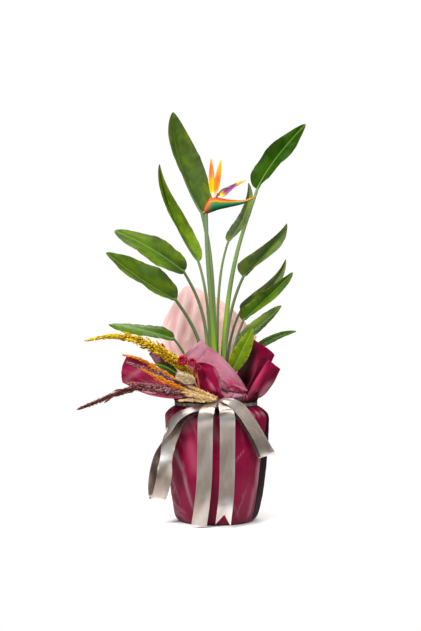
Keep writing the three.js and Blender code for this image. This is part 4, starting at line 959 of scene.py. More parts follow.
# The folds of these flaps and of the two sheets below end in shares of painted highlight, painted
# shade and painted sheen, as in FOLDS
BURGUNDY_FLAPS = [
    # Left
    dict(neck=(160, 232, 1.6), ripples=(1.6, 4), seed=50, rows=[
        [(-124, 22, 366), (-132, -6, 356), (-133, -40, 344), (-121, -75, 332), (-98, -92, 320)],
        [(-170, 2, 402), (-182, -20, 384), (-187, -48, 362), (-183, -78, 341), (-172, -99, 330)],
        [(-229, -30, 429), (-237, -42, 412), (-241, -56, 394), (-241, -70, 376), (-238, -82, 361)],
    ], folds=[
        (-244, 396, -190, 372, 1.5, 16, 0, 0, 0, 0.35),
        (-236, 364, -188, 396, 0, 12, 0, 0.5, 0, 0.3), (-228, 425, -175, 404, -1, 13, 0, 0, 0.55),
        (-200, 376, -150, 350, 0, 22, 0, 0, 0.35), (-180, 392, -128, 348, 1.6, 8, 1, 0.1, 0, 0.4),
        (-236, 352, -176, 342, 1, 8, -1, 0, 0, 0.6),
    ]),
    # Back left
    dict(neck=(96, 160, 1.0), ripples=(1.8, 6), seed=51, rows=[
        [(-10, 122, 378), (-42, 122, 374), (-74, 108, 372), (-102, 84, 372), (-130, 46, 366)],
        [(-4, 136, 430), (-44, 138, 436), (-88, 124, 436), (-126, 88, 432), (-157, 36, 403)],
        [(2, 146, 462), (-46, 150, 478), (-100, 134, 474), (-146, 84, 456), (-175, 18, 432)],
    ], folds=[
        (-178, 440, -128, 372, 1.2, 30, 0, 0.9), (-136, 424, -122, 384, 1.5, 6, 0, 0, 0, 0.7),
    ]),
    # Back right
    dict(neck=(32, 97, 1.6), ripples=(1.8, 5), seed=52, rows=[
        [(88, 76, 366), (72, 96, 370), (50, 110, 374), (26, 119, 376), (2, 121, 378)],
        [(104, 90, 396), (86, 112, 416), (60, 128, 426), (32, 136, 430), (10, 136, 426)],
        [(112, 100, 408), (96, 126, 442), (70, 142, 466), (38, 150, 464), (18, 148, 446)],
    ]),
    # Right
    dict(neck=(-52, 34, 1.2), ripples=(1.4, 5), seed=53, rows=[
        [(82, -80, 356), (106, -54, 360), (118, -20, 364), (106, 14, 366), (54, 26, 352)],
        [(98, -64, 392), (123, -44, 398), (140, -16, 406), (128, 12, 418), (68, 26, 416)],
        [(116, -52, 424), (138, -34, 426), (152, -12, 428), (132, 6, 447), (98, 22, 469)],
    ], folds=[
        (104, 476, 66, 330, 0, 46, 0, 0, 1), (142, 440, 104, 336, 0, 50, 0, 0, 0.45),
        (84, 470, 62, 330, 0, 34, 0, 0, 1), (108, 436, 97, 384, 1, 7, 0, 0, 0, 0.3),
    ]),
    # Right, in front of the one before
    dict(neck=(-46, -22, 2.6), ripples=(0.5, 2), seed=54, rows=[
        [(88, -88, 350), (97, -85, 348), (105, -80, 342), (110, -74, 333), (112, -66, 322)],
        [(110, -82, 386), (120, -80, 380), (130, -75, 370), (137, -68, 361), (141, -59, 351)],
        [(133, -72, 420), (141, -71, 413), (149, -67, 406), (157, -60, 400), (164, -52, 394)],
    ], folds=[
        (126, 408, 74, 310, 1.4, 14, 0, 0, 0, 0.6), (140, 396, 96, 318, -1.6, 6, 0, 0, 0.6),
        (162, 400, 128, 362, 0, 18, 0, 0, 0.55), (146, 368, 104, 316, 0.6, 13, 0, 0.75),
        (106, 318, 84, 311, -2, 12, 0, 0, 1),
    ]),
    # The crumpled corner that stands before the folded front sheet
    dict(neck=(-124, -80, 3.6), ripples=(1.6, 2.5), seed=31, curl=2.0, crumple=2.0,
         size=(60, 60), rows=[
        [(-60, -108, 346), (-40, -117, 348), (-20, -121, 347), (-2, -122, 344), (12, -120, 340)],
        [(-62, -114, 372), (-42, -123, 375), (-24, -128, 374), (-8, -127, 369), (5, -122, 363)],
        [(-56, -118, 397), (-42, -124, 401), (-26, -127, 400), (-10, -126, 394), (3, -122, 387)],
        [(-52, -119, 410), (-43, -124, 413), (-31, -126, 413), (-17, -126, 409), (-4, -124, 402)],
    ], folds=[
        (-34, 390, -20, 352, -2.4, 9, 1, 0, 0.6), (-26, 376, -4, 338, 2.4, 8, -1, 0, 0, 0.7),
        (-8, 404, 5, 372, 1.2, 3.5, 0, 0.3, 0, 0.6), (-52, 396, -40, 360, 1.8, 7, 1, 0, 0, 0.35),
        (-44, 412, -22, 396, -1.2, 4, 0, 0, 0.3), (2, 352, 14, 322, 1.5, 5, 1, 0, 0, 0.4),
        (-16, 364, -2, 342, 1.5, 4, 1, 0.8), (-50, 400, -6, 370, 0, 34, 0, 0, 0.22),
    ]),
]
FRONT_SHEET = dict(neck=(-133, -44, 2.4, 6), ripples=(1.0, 5), seed=61, curl=2.0, crumple=0.9,
                   size=(130, 110), rows=[
    [(-76, -92, 372), (-50, -108, 376), (-20, -114, 372), (10, -114, 366), (40, -106, 352),
     (68, -92, 340)],
    [(-80, -104, 410), (-50, -112, 424), (-18, -118, 412), (12, -119, 398), (46, -110, 368),
     (74, -93, 341)],
    [(-83, -112, 434), (-45, -112, 464), (-38, -112, 469), (-31, -114, 464), (13, -120, 429),
     (50, -112, 387), (80, -95, 343)],
], folds=[
    (-26, 470, -84, 424, 0, 40, 0, 0.8), (0, 440, 40, 380, 0, 24, 0, 0.45),
    (-19, 450, -48, 416, -0.9, 3, 0, 0, 0.25), (-34, 468, -62, 440, 0.8, 4, 0, 0.2),
    (18, 368, 76, 334, 1.0, 24, 0, 0, 0, 1), (10, 348, 34, 334, -3, 9, 0, 0, 1),
    (22, 341, 68, 334, -2, 3.6, 0, 0, 1), (-40, 324, 4, 326, 0, 16, 0, 0, 0.85),
    (24, 318, 74, 324, 0, 7, 0, 0, 0.75), (4, 338, 10, 356, 1.6, 4, 1, 0.1, 0, 0.3),
    (26, 345, 40, 352, -1, 4, 0, 0, 0.5), (38, 359, 82, 341, 2.2, 5, -1, 0.3),
    (14, 372, 36, 354, 1.8, 5, 1, 0.3, 0, 0.2), (30, 326, 70, 329, 2.2, 8, 0, 0.8),
    (-10, 400, 26, 360, 1.4, 9, 1, 0.15), (52, 350, 30, 312, -1.4, 4, 0, 0, 0.5),
])
# The pink sheet starts inside the neck
PINK_SHEET = dict(neck=(172, 48, -6.3, 6, ((307, 0), (340, 0))), ripples=(2.2, 5), seed=71,
                  curl=2.0, crumple=0.6, size=(110, 96), thick=0.4, rows=[
    [(-112, 28, 396), (-94, 74, 420), (-46, 100, 432), (16, 104, 430), (58, 94, 414),
     (80, 80, 392)],
    [(-136, 36, 452), (-112, 78, 500), (-56, 106, 522), (14, 112, 508), (68, 104, 466),
     (94, 90, 430)],
    [(-152, 44, 468), (-136, 76, 522), (-115, 92, 560), (-79, 104, 610), (-37, 112, 598),
     (14, 116, 572), (56, 110, 538), (110, 94, 474)],
], folds=[
    (-75, 600, -112, 450, 3, 16, 1, 0.6), (-98, 560, -118, 450, -2, 12, 0, 0, 0, 0.5),
    (-45, 590, -74, 460, 2.5, 14, 1, 0.5), (-60, 590, -92, 450, -2, 10, 0, 0, 0, 0.45),
    (-16, 580, -36, 450, 2, 14, 0, 0.4), (-30, 580, -54, 440, -2, 8, 0, 0, 0, 0.4),
    (30, 560, 50, 440, 2, 14, 0, 0.4), (70, 520, 84, 430, -2, 12, 0, 0, 0, 0.4),
])


def film_paint(name, outside, inside, wear_and_sheen, bright, rough, gloss, drifts=(0.7, 1.25)):
    """Satin film, with two sides, painted highlights on its folds, painted shade in its recesses, and
    a painted sheen.
    """
    paint = Paint(name, specular_ior_level=gloss, specular_tint=(1.0, 0.62, 0.7))
    drift = paint.noise(11, 4)
    low, high = drifts
    front = paint.ramp(drift, (0.3, shade(outside, low)), (0.7, shade(outside, high)))
    back = paint.ramp(drift, (0.3, shade(inside, low)), (0.7, shade(inside, high)))
    body = paint.blend(paint.value("side"), back, front)
    # Painted sheen where lit is high, and painted highlights on folds where pale is high
    body = paint.blend(paint.value("lit"), body, bright)
    body = paint.blend(paint.value("pale"), body, wear_and_sheen)
    # Painted shade: where dark is high the colour goes to near black
    dark = paint.value("dark")
    paint.set("Base Color", paint.blend(dark, body, shade(outside, 0.03)))
    dull = paint.span(paint.noise(45), 0.3, 0.7, rough - 0.06, rough + 0.08)
    paint.set("Roughness", paint.plus(dull, paint.times(dark, 0.45)))
    crease = paint.noise(26, 3, kind="RIDGED_MULTIFRACTAL", rough=0.4)
    paint.bump(paint.plus(paint.times(crease, 0.5), paint.noise(70)), 0.35, 1.4)
    return paint.material


BURGUNDY = (0.23, 0.002, 0.036)
PINK = (1.0, 0.62, 0.59)
# A film's colours: outside, inside, painted highlight on folds, painted sheen; then roughness and
# gloss
burgundy = film_paint("burgundy_film", BURGUNDY, (0.25, 0.002, 0.036), (0.30, 0.155, 0.175),
                      (0.56, 0.05, 0.14), 0.3, 0.22)
mauve = film_paint("mauve_film", (0.42, 0.142, 0.20), BURGUNDY, (0.50, 0.26, 0.32),
                   (0.43, 0.028, 0.09), 0.4, 0.35)
pink = film_paint("pink_paper", PINK, PINK, (1.0, 0.78, 0.76), (0.95, 0.42, 0.42), 0.55, 0.3,
                  (0.97, 1.0))

wrap = piece("burgundy_wrapping_sheet", [wrap_body_solid()], burgundy, ["wrap_burgundy_sheet"],
             SHARP)
flaps = piece("burgundy_sheet_flaps", [flap_solid(flap) for flap in BURGUNDY_FLAPS], burgundy,
              ["wrap_burgundy_sheet"], SHARP)
front_sheet = piece("folded_front_sheet", [flap_solid(FRONT_SHEET)], mauve, ["wrap_front_sheet"],
                    SHARP)
pink_sheet = piece("pink_backing_sheet", [flap_solid(PINK_SHEET)], pink, ["wrap_pink_sheet"],
                   SHARP)


# Ribbon

RIBBON_WIDTH = 38
HALF = RIBBON_WIDTH / 2
SATIN_THICK = 0.5
BAND_LOW, BAND_HIGH = 298.5, 308.5
KNOT_AT, KNOT_HALF = (0.5, -117, 308), (9.5, 8, 9)
# Each station of a ribbon has x, y and z of its middle line, x, y and z of where its face looks,
# half its width, and its painted sheen, from 1, a painted white highlight, to -1, painted shade.
# notch is how far the end is cut back in the middle, as a share of the length.
RIBBONS = {
    "tail_left": dict(rows=110, held="hung", stations=[
        (-1, -121, 316, -0.1, -0.6, 0.8, 6, 0.1), (-10, -134, 310, -0.1, -0.65, 0.75, 11.5, 0),
        (-18.5, -148, 301, 0, -0.65, 0.75, 16, -0.1), (-24, -156, 290, 0, -0.8, 0.6, 18.5, -0.25),
        (-26.5, -158, 277, 0, -1, 0.1, HALF, 0.5), (-27.5, -152, 250, 0, -1, -0.1, HALF, 0.3),
        (-28, -143, 205, 0, -1, -0.1, HALF, 0.15), (-30, -138, 120, 0, -1, 0, HALF, 0.15),
        (-36, -138, 55, 0, -1, 0, HALF, 0.15), (-43, -137.5, 7, 0, -1, 0, HALF, 0.15),
    ]),
    "tail_right": dict(rows=110, held="hung", notch=0.055, stations=[
        (6, -120, 318, 0.1, -0.6, 0.8, 6.5, 0.1), (12.5, -133, 312, 0.1, -0.65, 0.75, 9, 0),
        (19, -147, 303, 0, -0.65, 0.75, 13, -0.1), (25, -156, 291.5, 0, -0.8, 0.6, 17.5, -0.3),
        (27.5, -158, 278, 0, -1, 0.1, HALF, 0.7), (28, -152, 250, 0, -1, -0.1, HALF, 0.25),
        (28, -143, 205, 0, -1, -0.1, HALF, 0.08), (27, -138, 120, 0, -1, 0, HALF, 0.05),
        (25, -139, 80, 0, -1, -0.1, HALF, 0.05), (22.5, -142, 55, 0, -1, 0.15, HALF, 0.7),
        (17, -139.5, 8, 0, -1, 0.1, HALF, 0.2),
    ]),
    "loop_left": dict(rows=190, held="folded", stations=[
        (-3, -118, 315, -0.1, -0.4, 0.92, 7, 0.2), (-20, -121, 308, -0.1, -0.35, 0.94, 12, 0.35),
        (-43, -124, 300.5, -0.1, -0.3, 0.95, 16, 0.4),
        (-72, -126, 291.5, -0.12, -0.36, 0.93, 18, 0.35),
        (-97, -123, 277, -0.4, -0.5, 0.75, HALF, 0.5),
        (-117, -113, 251, -0.75, -0.5, 0.4, HALF, 0.3),
        (-130, -102, 225, -0.95, 0.05, 0.15, HALF, 0),
        (-141, -92, 186, -0.75, 0.65, -0.1, HALF, -0.5),
        (-150, -86, 140, -0.45, 0.88, -0.1, HALF, -0.7),
        (-153.5, -86, 96, -0.15, 0.95, -0.2, HALF, -0.6), (-151, -92, 72, 0, 0.6, -0.8, HALF, 0),
        (-146, -101, 69, 0, -0.5, -0.85, HALF, 0.4), (-140, -108, 84, 0, -0.95, -0.3, HALF, -0.2),
        (-131.5, -114, 122, 0.1, -1, 0, HALF, -0.5),
        (-126, -118, 168, -0.55, -0.8, 0.15, HALF, 0.75),
        (-119, -116, 210, -0.3, -0.9, 0.25, HALF, 0.2),
        (-107, -113, 241, -0.2, -0.8, 0.5, HALF, -0.15),
        (-96, -112, 259, -0.3, -0.6, 0.75, 18, -0.4),
        (-77, -115, 276, -0.2, -0.45, 0.88, 17, -0.5),
        (-52, -118, 288, -0.1, -0.35, 0.93, 14, -0.2), (-24, -118, 300, -0.1, -0.4, 0.9, 11, 0),
        (-3, -117, 311, -0.1, -0.6, 0.8, 8, 0),
    ]),
    "loop_right": dict(rows=190, held="folded", stations=[
        (4, -121, 316, 0.1, -0.6, 0.8, 6, 0.3), (14, -129, 320, 0.1, -0.6, 0.8, 9, 0.1),
        (30, -136, 317.5, 0.2, -0.65, 0.75, 13, 0.2),
        (46, -138.5, 309, 0.3, -0.7, 0.65, 17, 0.25), (61, -136, 296, 0.4, -0.75, 0.5, HALF, 0.1),
        (84, -125, 265, 0.45, -0.8, 0.35, HALF, -0.05),
        (108, -110, 224, 0.5, -0.8, 0.25, HALF, -0.1), (125, -98, 190, 0.5, -0.85, -0.1, HALF, 0),
        (131, -90, 176, 0.3, -0.2, -1, HALF, 0.6), (121, -80, 180, -0.4, 0.85, -0.2, HALF, -0.3),
        (104, -89, 212, -0.35, 0.85, -0.3, HALF, -0.4),
        (82, -108, 256, -0.45, 0.8, -0.35, HALF, -0.4),
        (56, -124, 289, -0.35, 0.8, -0.5, HALF, -0.4), (31, -130, 307, -0.2, 0.7, -0.7, 15, -0.4),
        (12, -125, 313, -0.1, 0.8, -0.6, 10, -0.2), (4, -118, 312, 0, 0.9, -0.5, 7, 0),
    ]),
}


def ribbon_solid(stations, rows, notch=0.0, columns=15):
    """A ribbon and its length. A narrower ribbon is one that is gathered, so it cups more."""
    stations = np.array(stations, float)
    places, faces, halves, shine = np.split(stations, [3, 6, 7], 1)
    line = spline(places)
    data = spline(np.column_stack([places, unit(faces), halves]))
    u = np.linspace(-1, 1, columns)[None]
    v = np.linspace(0, 1, rows)[:, None] * (1 - notch * (1 - np.abs(u)))
    row = data(v)
    forward = tangent(line, v)
    across = unit(np.cross(row[..., 3:6], forward))
    half = row[..., 6]
    face = unit(np.cross(forward, across))
    cup = 1.6 * (1 - half / HALF) * np.cos(u * math.pi) + 0.4 * np.sin(v * 31 + u * 1.4)
    middle = line(v)
    grid = middle + across * (u * half)[..., None] + face * cup[..., None]
    along = lengths(middle[:, columns // 2])[:, None]
    # Painted sheen along the ribbon from its stations, with soft painted waves across it
    steps = np.interp(np.linspace(0, 1, rows), np.linspace(0, 1, len(shine)), shine[:, 0])
    steps = steps[:, None]
    sheen = steps + 0.12 * np.sin(along / 23 + 1.5 * u) + 0.1 * u
    return thin(grid, SATIN_THICK, across=u, along=along, sheen=sheen), along[-1, 0]


def ribbon_paint():
    paint = Paint("satin_ribbon", roughness=0.27, metallic=0.72, specular_ior_level=0.5,
                  anisotropic=0.4)
    u, along, sheen = paint.value("across"), paint.value("along"), paint.value("sheen")
    drift = paint.grain(3, u, 1.5, along, 0.02)
    body = paint.ramp(drift, (0.3, (0.37, 0.30, 0.25)), (0.7, (0.50, 0.42, 0.36)))
    selvedge = paint.span(paint.math("ABSOLUTE", u), 0.93, 0.96, 0, 0.6)
    body = paint.blend(selvedge, body, (0.52, 0.46, 0.42))
    # Painted highlight towards white where the sheen is high, painted shade where it is low
    body = paint.blend(paint.span(sheen, 0.1, 1.0), body, (0.92, 0.89, 0.88))
    body = paint.blend(paint.span(sheen, 0.0, -1.0), body, (0.12, 0.085, 0.065))
    paint.set("Base Color", body)
    weave = paint.plus(paint.waves(along, 0.55), paint.times(paint.waves(u, 1 / 30), 0.5))
    paint.bump(paint.plus(weave, paint.times(selvedge, 4.0)), 0.12, 0.12)
    return paint.material


satin = ribbon_paint()
for name, spec in RIBBONS.items():
    solid, length = ribbon_solid(spec["stations"], spec["rows"], spec.get("notch", 0.0))
    made = piece("ribbon_" + name, [solid], satin, ["ribbon_bow"], SHARP)


def band_solids():
    """The ribbon's turn round the neck, drawn tight into a few folds."""
    turn = np.linspace(0, 360, 300, endpoint=False)[None]
    angle = np.radians(turn)
    share = np.linspace(0, 1, 19)[:, None]
    sway = 0.5 * np.sin(angle * 2 + 1) + 0.3 * np.sin(angle * 5)
    z = mix(BAND_LOW + 0.8, BAND_HIGH - 0.8, share) + sway
    crease = 1.1 * np.abs(np.sin(share * math.pi * 3 + 0.35 * np.sin(angle * 3)))
    radius = NECK_RADIUS + 0.6 + crease + 0.5 * gathers(turn, 30, 7, 0.8)
    outer = polar(turn, radius, z)
    inner = polar(turn, radius - 1.2, z)
    rings = np.concatenate([outer, inner[::-1], outer[:1]])
    points, faces, values = skinned(rings, across=np.zeros((1, 1)), along=angle * NECK_RADIUS)
    # The last ring is the first one again, so its points are taken out
    last = (len(rings) - 1) * rings.shape[1]
    return [(points[:last], [faces[0] % last], {k: v[:last] for k, v in values.items()})]


piece("ribbon_round_the_neck", band_solids(), satin, ["ribbon_band"], SHARP)


def knot_solids():
    """The knot: the ribbon wound once over the crossing, in soft creases."""
    turn = around(56)[None]
    rows = np.linspace(-1, 1, 30)[:, None]
    bulge = np.sqrt(np.maximum(1 - 0.62 * rows**2, 0))
    crease = 1 + 0.05 * np.sin(rows * 9 + np.cos(turn) * 1.5) + 0.025 * np.sin(rows * 21 + turn)
    x = KNOT_AT[0] + KNOT_HALF[0] * rows + 0 * turn
    y = KNOT_AT[1] + (KNOT_HALF[1] + 1) * bulge * crease * np.cos(turn)
    z = KNOT_AT[2] + (KNOT_HALF[2] + 1.5) * bulge * crease * np.sin(turn)
    return [skinned(np.stack([x, y, z], -1), across=rows * 0.9, along=turn * 10)]


piece("ribbon_knot", knot_solids(), satin, ["ribbon_bow"], SHARP)


# Dried spray

TIE_AT, TIE_RADIUS, TIE_HALF, TIE_TURNS = (-19.6, -120.5, 325.9), 10.3, 7, 7
tie_along = unit((-0.88, -0.22, 0.42))
tie_side = unit(np.cross(UP, tie_along))
tie_up = unit(UP - tie_along * tie_along[2])


def tie_point(seat, d, spread=1.0):
    """The point of a stalk's line at distance d along the tie, with its seat spread out."""
    return (np.array(TIE_AT) + tie_along * d
            + tie_side * seat[0] * spread + tie_up * seat[1] * spread)


def seated(seat, path):
    """The line of a stalk: straight through the tie, fanned out, then along its path."""
    inside = [tie_point(seat, k * 0.5 * (TIE_HALF + 3)) for k in (-2, -0.5, 0.5, 2)]
    return spline([*inside, tie_point(seat, TIE_HALF + 21, 1.7), *path])


# seat is where the stalk lies in the tie, and stalk its radius. bare is the share of the path
# without seeds, core the head's radius at its widest, blunt how full its end is, lumps how many
# lumps it has, grain the length and radius of a seed, and grains how many there are. hairs are the
# length and number of its awns, and shoots the number and length of its side shoots. inner gives
# other colours near the bow, and the x in metres between which they fade in.
PLUMES = {
    "spray_yellow_plume": dict(
        seat=(-4, 5), bare=0.12, stalk=1.4, core=13.5, blunt=0.95, grain=(5.6, 1.5), grains=2950,
        hairs=(5, 350), slot="yellow_grass", seed=11, lumps=26, shoots=(22, 34),
        path=[(-66, -124, 384), (-94, -130, 409), (-130, -138, 437), (-165, -144, 456),
              (-212, -149, 474), (-264, -151, 479), (-328, -152, 468)],
        colours=((0.66, 0.42, 0.004), (0.20, 0.09, 0.002), (0.98, 0.76, 0.03))),
    "spray_orange_plume_upper": dict(
        seat=(-1.6, 1.2), bare=0.3, stalk=1.2, core=5.6, blunt=0.7, grain=(4.2, 1.1), grains=900,
        hairs=(5, 220), slot="orange_grass", seed=12, lumps=14, shoots=(10, 22),
        path=[(-78, -139, 360), (-112, -148, 377), (-150, -154, 400), (-192, -158, 424),
              (-234, -162, 434)],
        colours=((0.80, 0.27, 0.01), (0.34, 0.07, 0.006), (0.92, 0.45, 0.04))),
    "spray_orange_plume_lower": dict(
        seat=(2.2, -1), bare=0.2, stalk=1.2, core=5.4, blunt=0.7, grain=(4.2, 1.1), grains=800,
        hairs=(5, 180), slot="orange_grass", seed=13, lumps=12, shoots=(9, 22),
        path=[(-80, -153, 348), (-116, -164, 363), (-152, -170, 381), (-188, -172, 402)],
        colours=((0.80, 0.25, 0.01), (0.34, 0.07, 0.006), (0.92, 0.43, 0.04))),
    "spray_mauve_plume": dict(
        seat=(-5.4, -2), bare=0.24, stalk=1.2, core=7.5, blunt=0.7, grain=(4.2, 0.8), grains=1500,
        hairs=(7, 320), slot="mauve_grass", seed=14, lumps=20, shoots=(16, 30),
        path=[(-78, -140, 354), (-116, -152, 371), (-160, -160, 392), (-226, -164, 417)],
        colours=((0.28, 0.10, 0.12), (0.05, 0.010, 0.018), (0.72, 0.50, 0.44))),
    "spray_brown_plume": dict(
        seat=(2.6, -5.2), bare=0.2, stalk=1.4, core=8.4, blunt=0.5, grain=(4.4, 0.9), grains=2600,
        hairs=(8, 420), slot="brown_grass", seed=15, lumps=30, shoots=(24, 30),
        path=[(-84, -152, 340), (-130, -164, 350), (-180, -174, 354), (-230, -182, 344),
              (-286, -188, 322), (-342, -192, 300)],
        colours=((0.105, 0.018, 0.012), (0.016, 0.003, 0.002), (0.40, 0.12, 0.07)),
        inner=(((0.27, 0.06, 0.075), (0.04, 0.006, 0.010), (0.78, 0.44, 0.42)), (-0.20, -0.15))),
    "spray_rust_plume": dict(
        seat=(-2, -5.8), bare=0.16, stalk=1.2, core=11, blunt=0.6, grain=(4.6, 0.9), grains=1900,
        hairs=(8, 360), slot="mauve_grass", seed=16, lumps=20, shoots=(24, 34),
        path=[(-80, -137, 337), (-122, -148, 344), (-170, -154, 354), (-226, -156, 364)],
        colours=((0.32, 0.065, 0.095), (0.05, 0.008, 0.010), (0.78, 0.42, 0.40))),
}
# Steps of a stalk's line up to the point where it is fanned out, before its own path
FAN_STEPS = 4


def seed_paint(name, colours, stalk, rough=0.75, inner=None):
    """A dried head: each grain has its own tone, partly random and partly painted shade deeper in
    the head, and the stalk keeps its straw colour.
    """
    middle, dark, light = colours
    paint = Paint(name, roughness=rough, specular_ior_level=0.15, sheen_weight=0.04,
                  subsurface_weight=0.05, subsurface_scale=0.002)
    level = paint.wander(paint.value("tone"), 600, 0.5, 2)
    body = paint.ramp(level, (0.05, dark), (0.5, middle), (0.95, light))
    if inner:
        (middle, dark, light), ends = inner
        x = paint.node("SeparateXYZ", {0: paint.place()}, 0)
        reddish = paint.ramp(level, (0.05, dark), (0.45, middle), (0.8, light))
        body = paint.blend(paint.span(x, *ends), body, reddish)
    paint.set("Base Color", paint.blend(paint.value("straw"), body, stalk))
    paint.bump(paint.noise(900, 2), 0.3, 0.2)
    return paint.material


# The turn from one grain to the next
GOLDEN_ANGLE = math.radians(137.508)


def frames_on(curve, t):
    forward = tangent(curve, t, 1e-3)
    side = unit(np.cross(np.broadcast_to(UP, forward.shape), forward))
    return forward, side, np.cross(forward, side)


def head(curve, start, core, grain, grains, hairs, lumps, rng, lean=0.75, shape=GRAIN):
    """The grains and hairs of a seed head round a curve, in lumps as its side shoots make them."""
    solids = []
    for size, count, solid, is_hair in ((grain, grains, shape, 0), (hairs, hairs[1], HAIR, 1)):
        k = np.arange(count)
        t = mix(start, 0.992, (k + rng.uniform(0, 1, count)) / count)
        forward, side, up = frames_on(curve, t)
        angle = GOLDEN_ANGLE * k + rng.uniform(-0.4, 0.4, count)
        out = side * np.cos(angle)[:, None] + up * np.sin(angle)[:, None]
        shoot = 0.5 + 0.5 * np.sin(lumps * 2 * math.pi * (t - start) / (1 - start) + 2 * angle)
        depth = rng.uniform(0.3, 1.0, count) * (0.72 + 0.38 * shoot)
        tilt = lean * rng.uniform(0.75, 1.2, count)[:, None]
        way = unit(out * (1 - np.clip(tilt, 0, 1)) + forward * tilt
                   + rng.normal(0, 0.12, (count, 3)))
        at = curve(t) + out * (core(t) * depth)[:, None]
        if is_hair:
            length = size[0] * rng.uniform(0.6, 1.3, count)
            sizes = np.stack([np.full(count, 0.32), np.full(count, 0.32), length], -1)
            tone = rng.uniform(0.5, 1.0, count)
        else:
            length = size[0] * rng.uniform(0.7, 1.25, count) * mix(1, 0.7, t)
            thick = size[1] * rng.uniform(0.8, 1.25, count) * 2
            sizes = np.stack([thick, thick, length], -1)
            # Grains nearer the core are darker, painted shade between the grains, with random tone on
            # top
            tone = np.clip(0.85 * depth - 0.18 + rng.normal(0, 0.24, count), 0, 1)
        solids.append(copies(solid, at - way * (0.3 * length)[:, None], way, sizes, angle, tone=tone))
    return solids


def swollen(low, high, part, start=0.0, bend=1.0, blunt=1.0):
    """A head's radius along its line: low before start, and then up to high. part is where on half
    a wave the swelling starts, and how much of it is used."""
    def radius(t):
        s = np.clip((t - start) / (1 - start), 0, 1)
        swell = np.clip(np.sin(math.pi * (part[0] + part[1] * s) ** bend), 0, 1) ** blunt
        return np.where(t < start, low, mix(low, high, swell))
    return radius


def side_shoots(curve, start, core, shoots, rng):
    """The middle lines of a plume's side shoots, which lie close along it."""
    count, length = shoots
    made = []
    for k in range(count):
        t = np.array([mix(start, 0.86, (k + rng.uniform(0.2, 0.8)) / count)])
        forward, side, up = (way[0] for way in frames_on(curve, t))
        angle = GOLDEN_ANGLE * k + rng.uniform(-0.5, 0.5)
        out = side * math.cos(angle) + up * math.sin(angle)
        reach = core(t)[0]
        full = length * rng.uniform(0.7, 1.2) * mix(1.0, 0.6, t[0])
        a = curve(t)[0] + out * 0.35 * reach
        b = a + forward * 0.45 * full + out * 0.6 * reach
        c = a + forward * full + out * rng.uniform(0.6, 0.95) * reach
        made.append(spline([a, b, c]))
    return made


STRAW = (0.42, 0.33, 0.10)
SHOOT_CORE = swollen(0, 2.6, (0.1, 0.88))

for name, plume in PLUMES.items():
    curve = seated(plume["seat"], plume["path"])
    fan = FAN_STEPS / (len(plume["path"]) + FAN_STEPS)
    start = mix(fan, 1, plume["bare"])
    core = swollen(plume["stalk"], plume["core"], (0.05, 0.94), start, 0.7, plume["blunt"])
    rng = np.random.default_rng(plume["seed"])
    t = np.linspace(0, 1, 90)
    inner = np.where(t < start, plume["stalk"], core(t) * 0.5)
    solids = [tube(curve(t), inner, 9, straw=smooth(start + 0.03, start - 0.03, t), tone=0.1)]
    solids += head(curve, start, core, plume["grain"], plume["grains"], plume["hairs"],
                   plume["lumps"], rng)
    for line in side_shoots(curve, start, core, plume["shoots"], rng):
        solids += head(line, 0.02, SHOOT_CORE, plume["grain"], 76, (plume["hairs"][0], 8), 3, rng,
                       0.85)
    look = seed_paint(name, plume["colours"], STRAW, inner=plume.get("inner"))
    piece(name + "_seeds", solids, look, [name])


TAIL_SEAT, TAIL_START = (6.4, 1.6), 0.66
TAIL_PATH = [(-52, -152, 364), (-62, -157, 371), (-78, -161, 376), (-98, -163, 382)]
TAIL_COLOURS = ((0.72, 0.54, 0.26), (0.20, 0.12, 0.05), (0.98, 0.90, 0.70))

curve = seated(TAIL_SEAT, TAIL_PATH)
core = swollen(1.2, 11.5, (0.06, 0.9), TAIL_START, 1.0, 0.6)
t = np.linspace(0, 1, 90)
solids = [tube(curve(t), np.where(t < TAIL_START, 1.2, core(t) * 0.7), 14,
               straw=smooth(TAIL_START + 0.02, TAIL_START - 0.02, t), tone=0.1)]
solids += head(curve, TAIL_START, core, (5.0, 0.5), 2600, (13, 1500), 9,
               np.random.default_rng(21), 0.5)
piece("spray_hares_tail_head", solids, seed_paint("hares_tail", TAIL_COLOURS, STRAW, 0.85),
      ["spray_hares_tail"])


# The cream heads start in front of the tie and hide it
CREAM_HEADS = [
    [(0, -130, 322), (-14, -138, 326), (-36, -146, 333), (-58, -152, 341), (-80, -156, 348)],
    [(-2, -130, 319), (-16, -138, 322), (-36, -146, 326), (-56, -152, 331), (-76, -156, 334)],
    [(2, -128, 326), (-12, -136, 331), (-32, -145, 340), (-52, -152, 349), (-68, -158, 355)],
    [(0, -132, 320), (-16, -141, 324), (-40, -149, 330), (-62, -155, 337), (-84, -160, 341)],
    [(-6, -134, 318), (-24, -140, 319), (-48, -146, 320), (-70, -150, 321), (-92, -152, 320)],
]
CREAM_COLOURS = ((0.74, 0.52, 0.22), (0.48, 0.28, 0.09), (0.93, 0.76, 0.46))

core = swollen(0.8, 4.4, (0.1, 0.86))
t = np.linspace(0, 1, 70)
solids = []
for number, path in enumerate(CREAM_HEADS):
    curve = spline(path)
    solids.append(tube(curve(t), core(t) * 0.6, 9, tone=0.15))
    solids += head(curve, 0.02, core, (7.5, 1.2), 150, (16, 110), 5,
                   np.random.default_rng(31 + number), 0.85, KERNEL)
piece("spray_cream_wheat_heads", solids, seed_paint("cream_heads", CREAM_COLOURS, STRAW, 0.7),
      ["spray_cream_heads"])


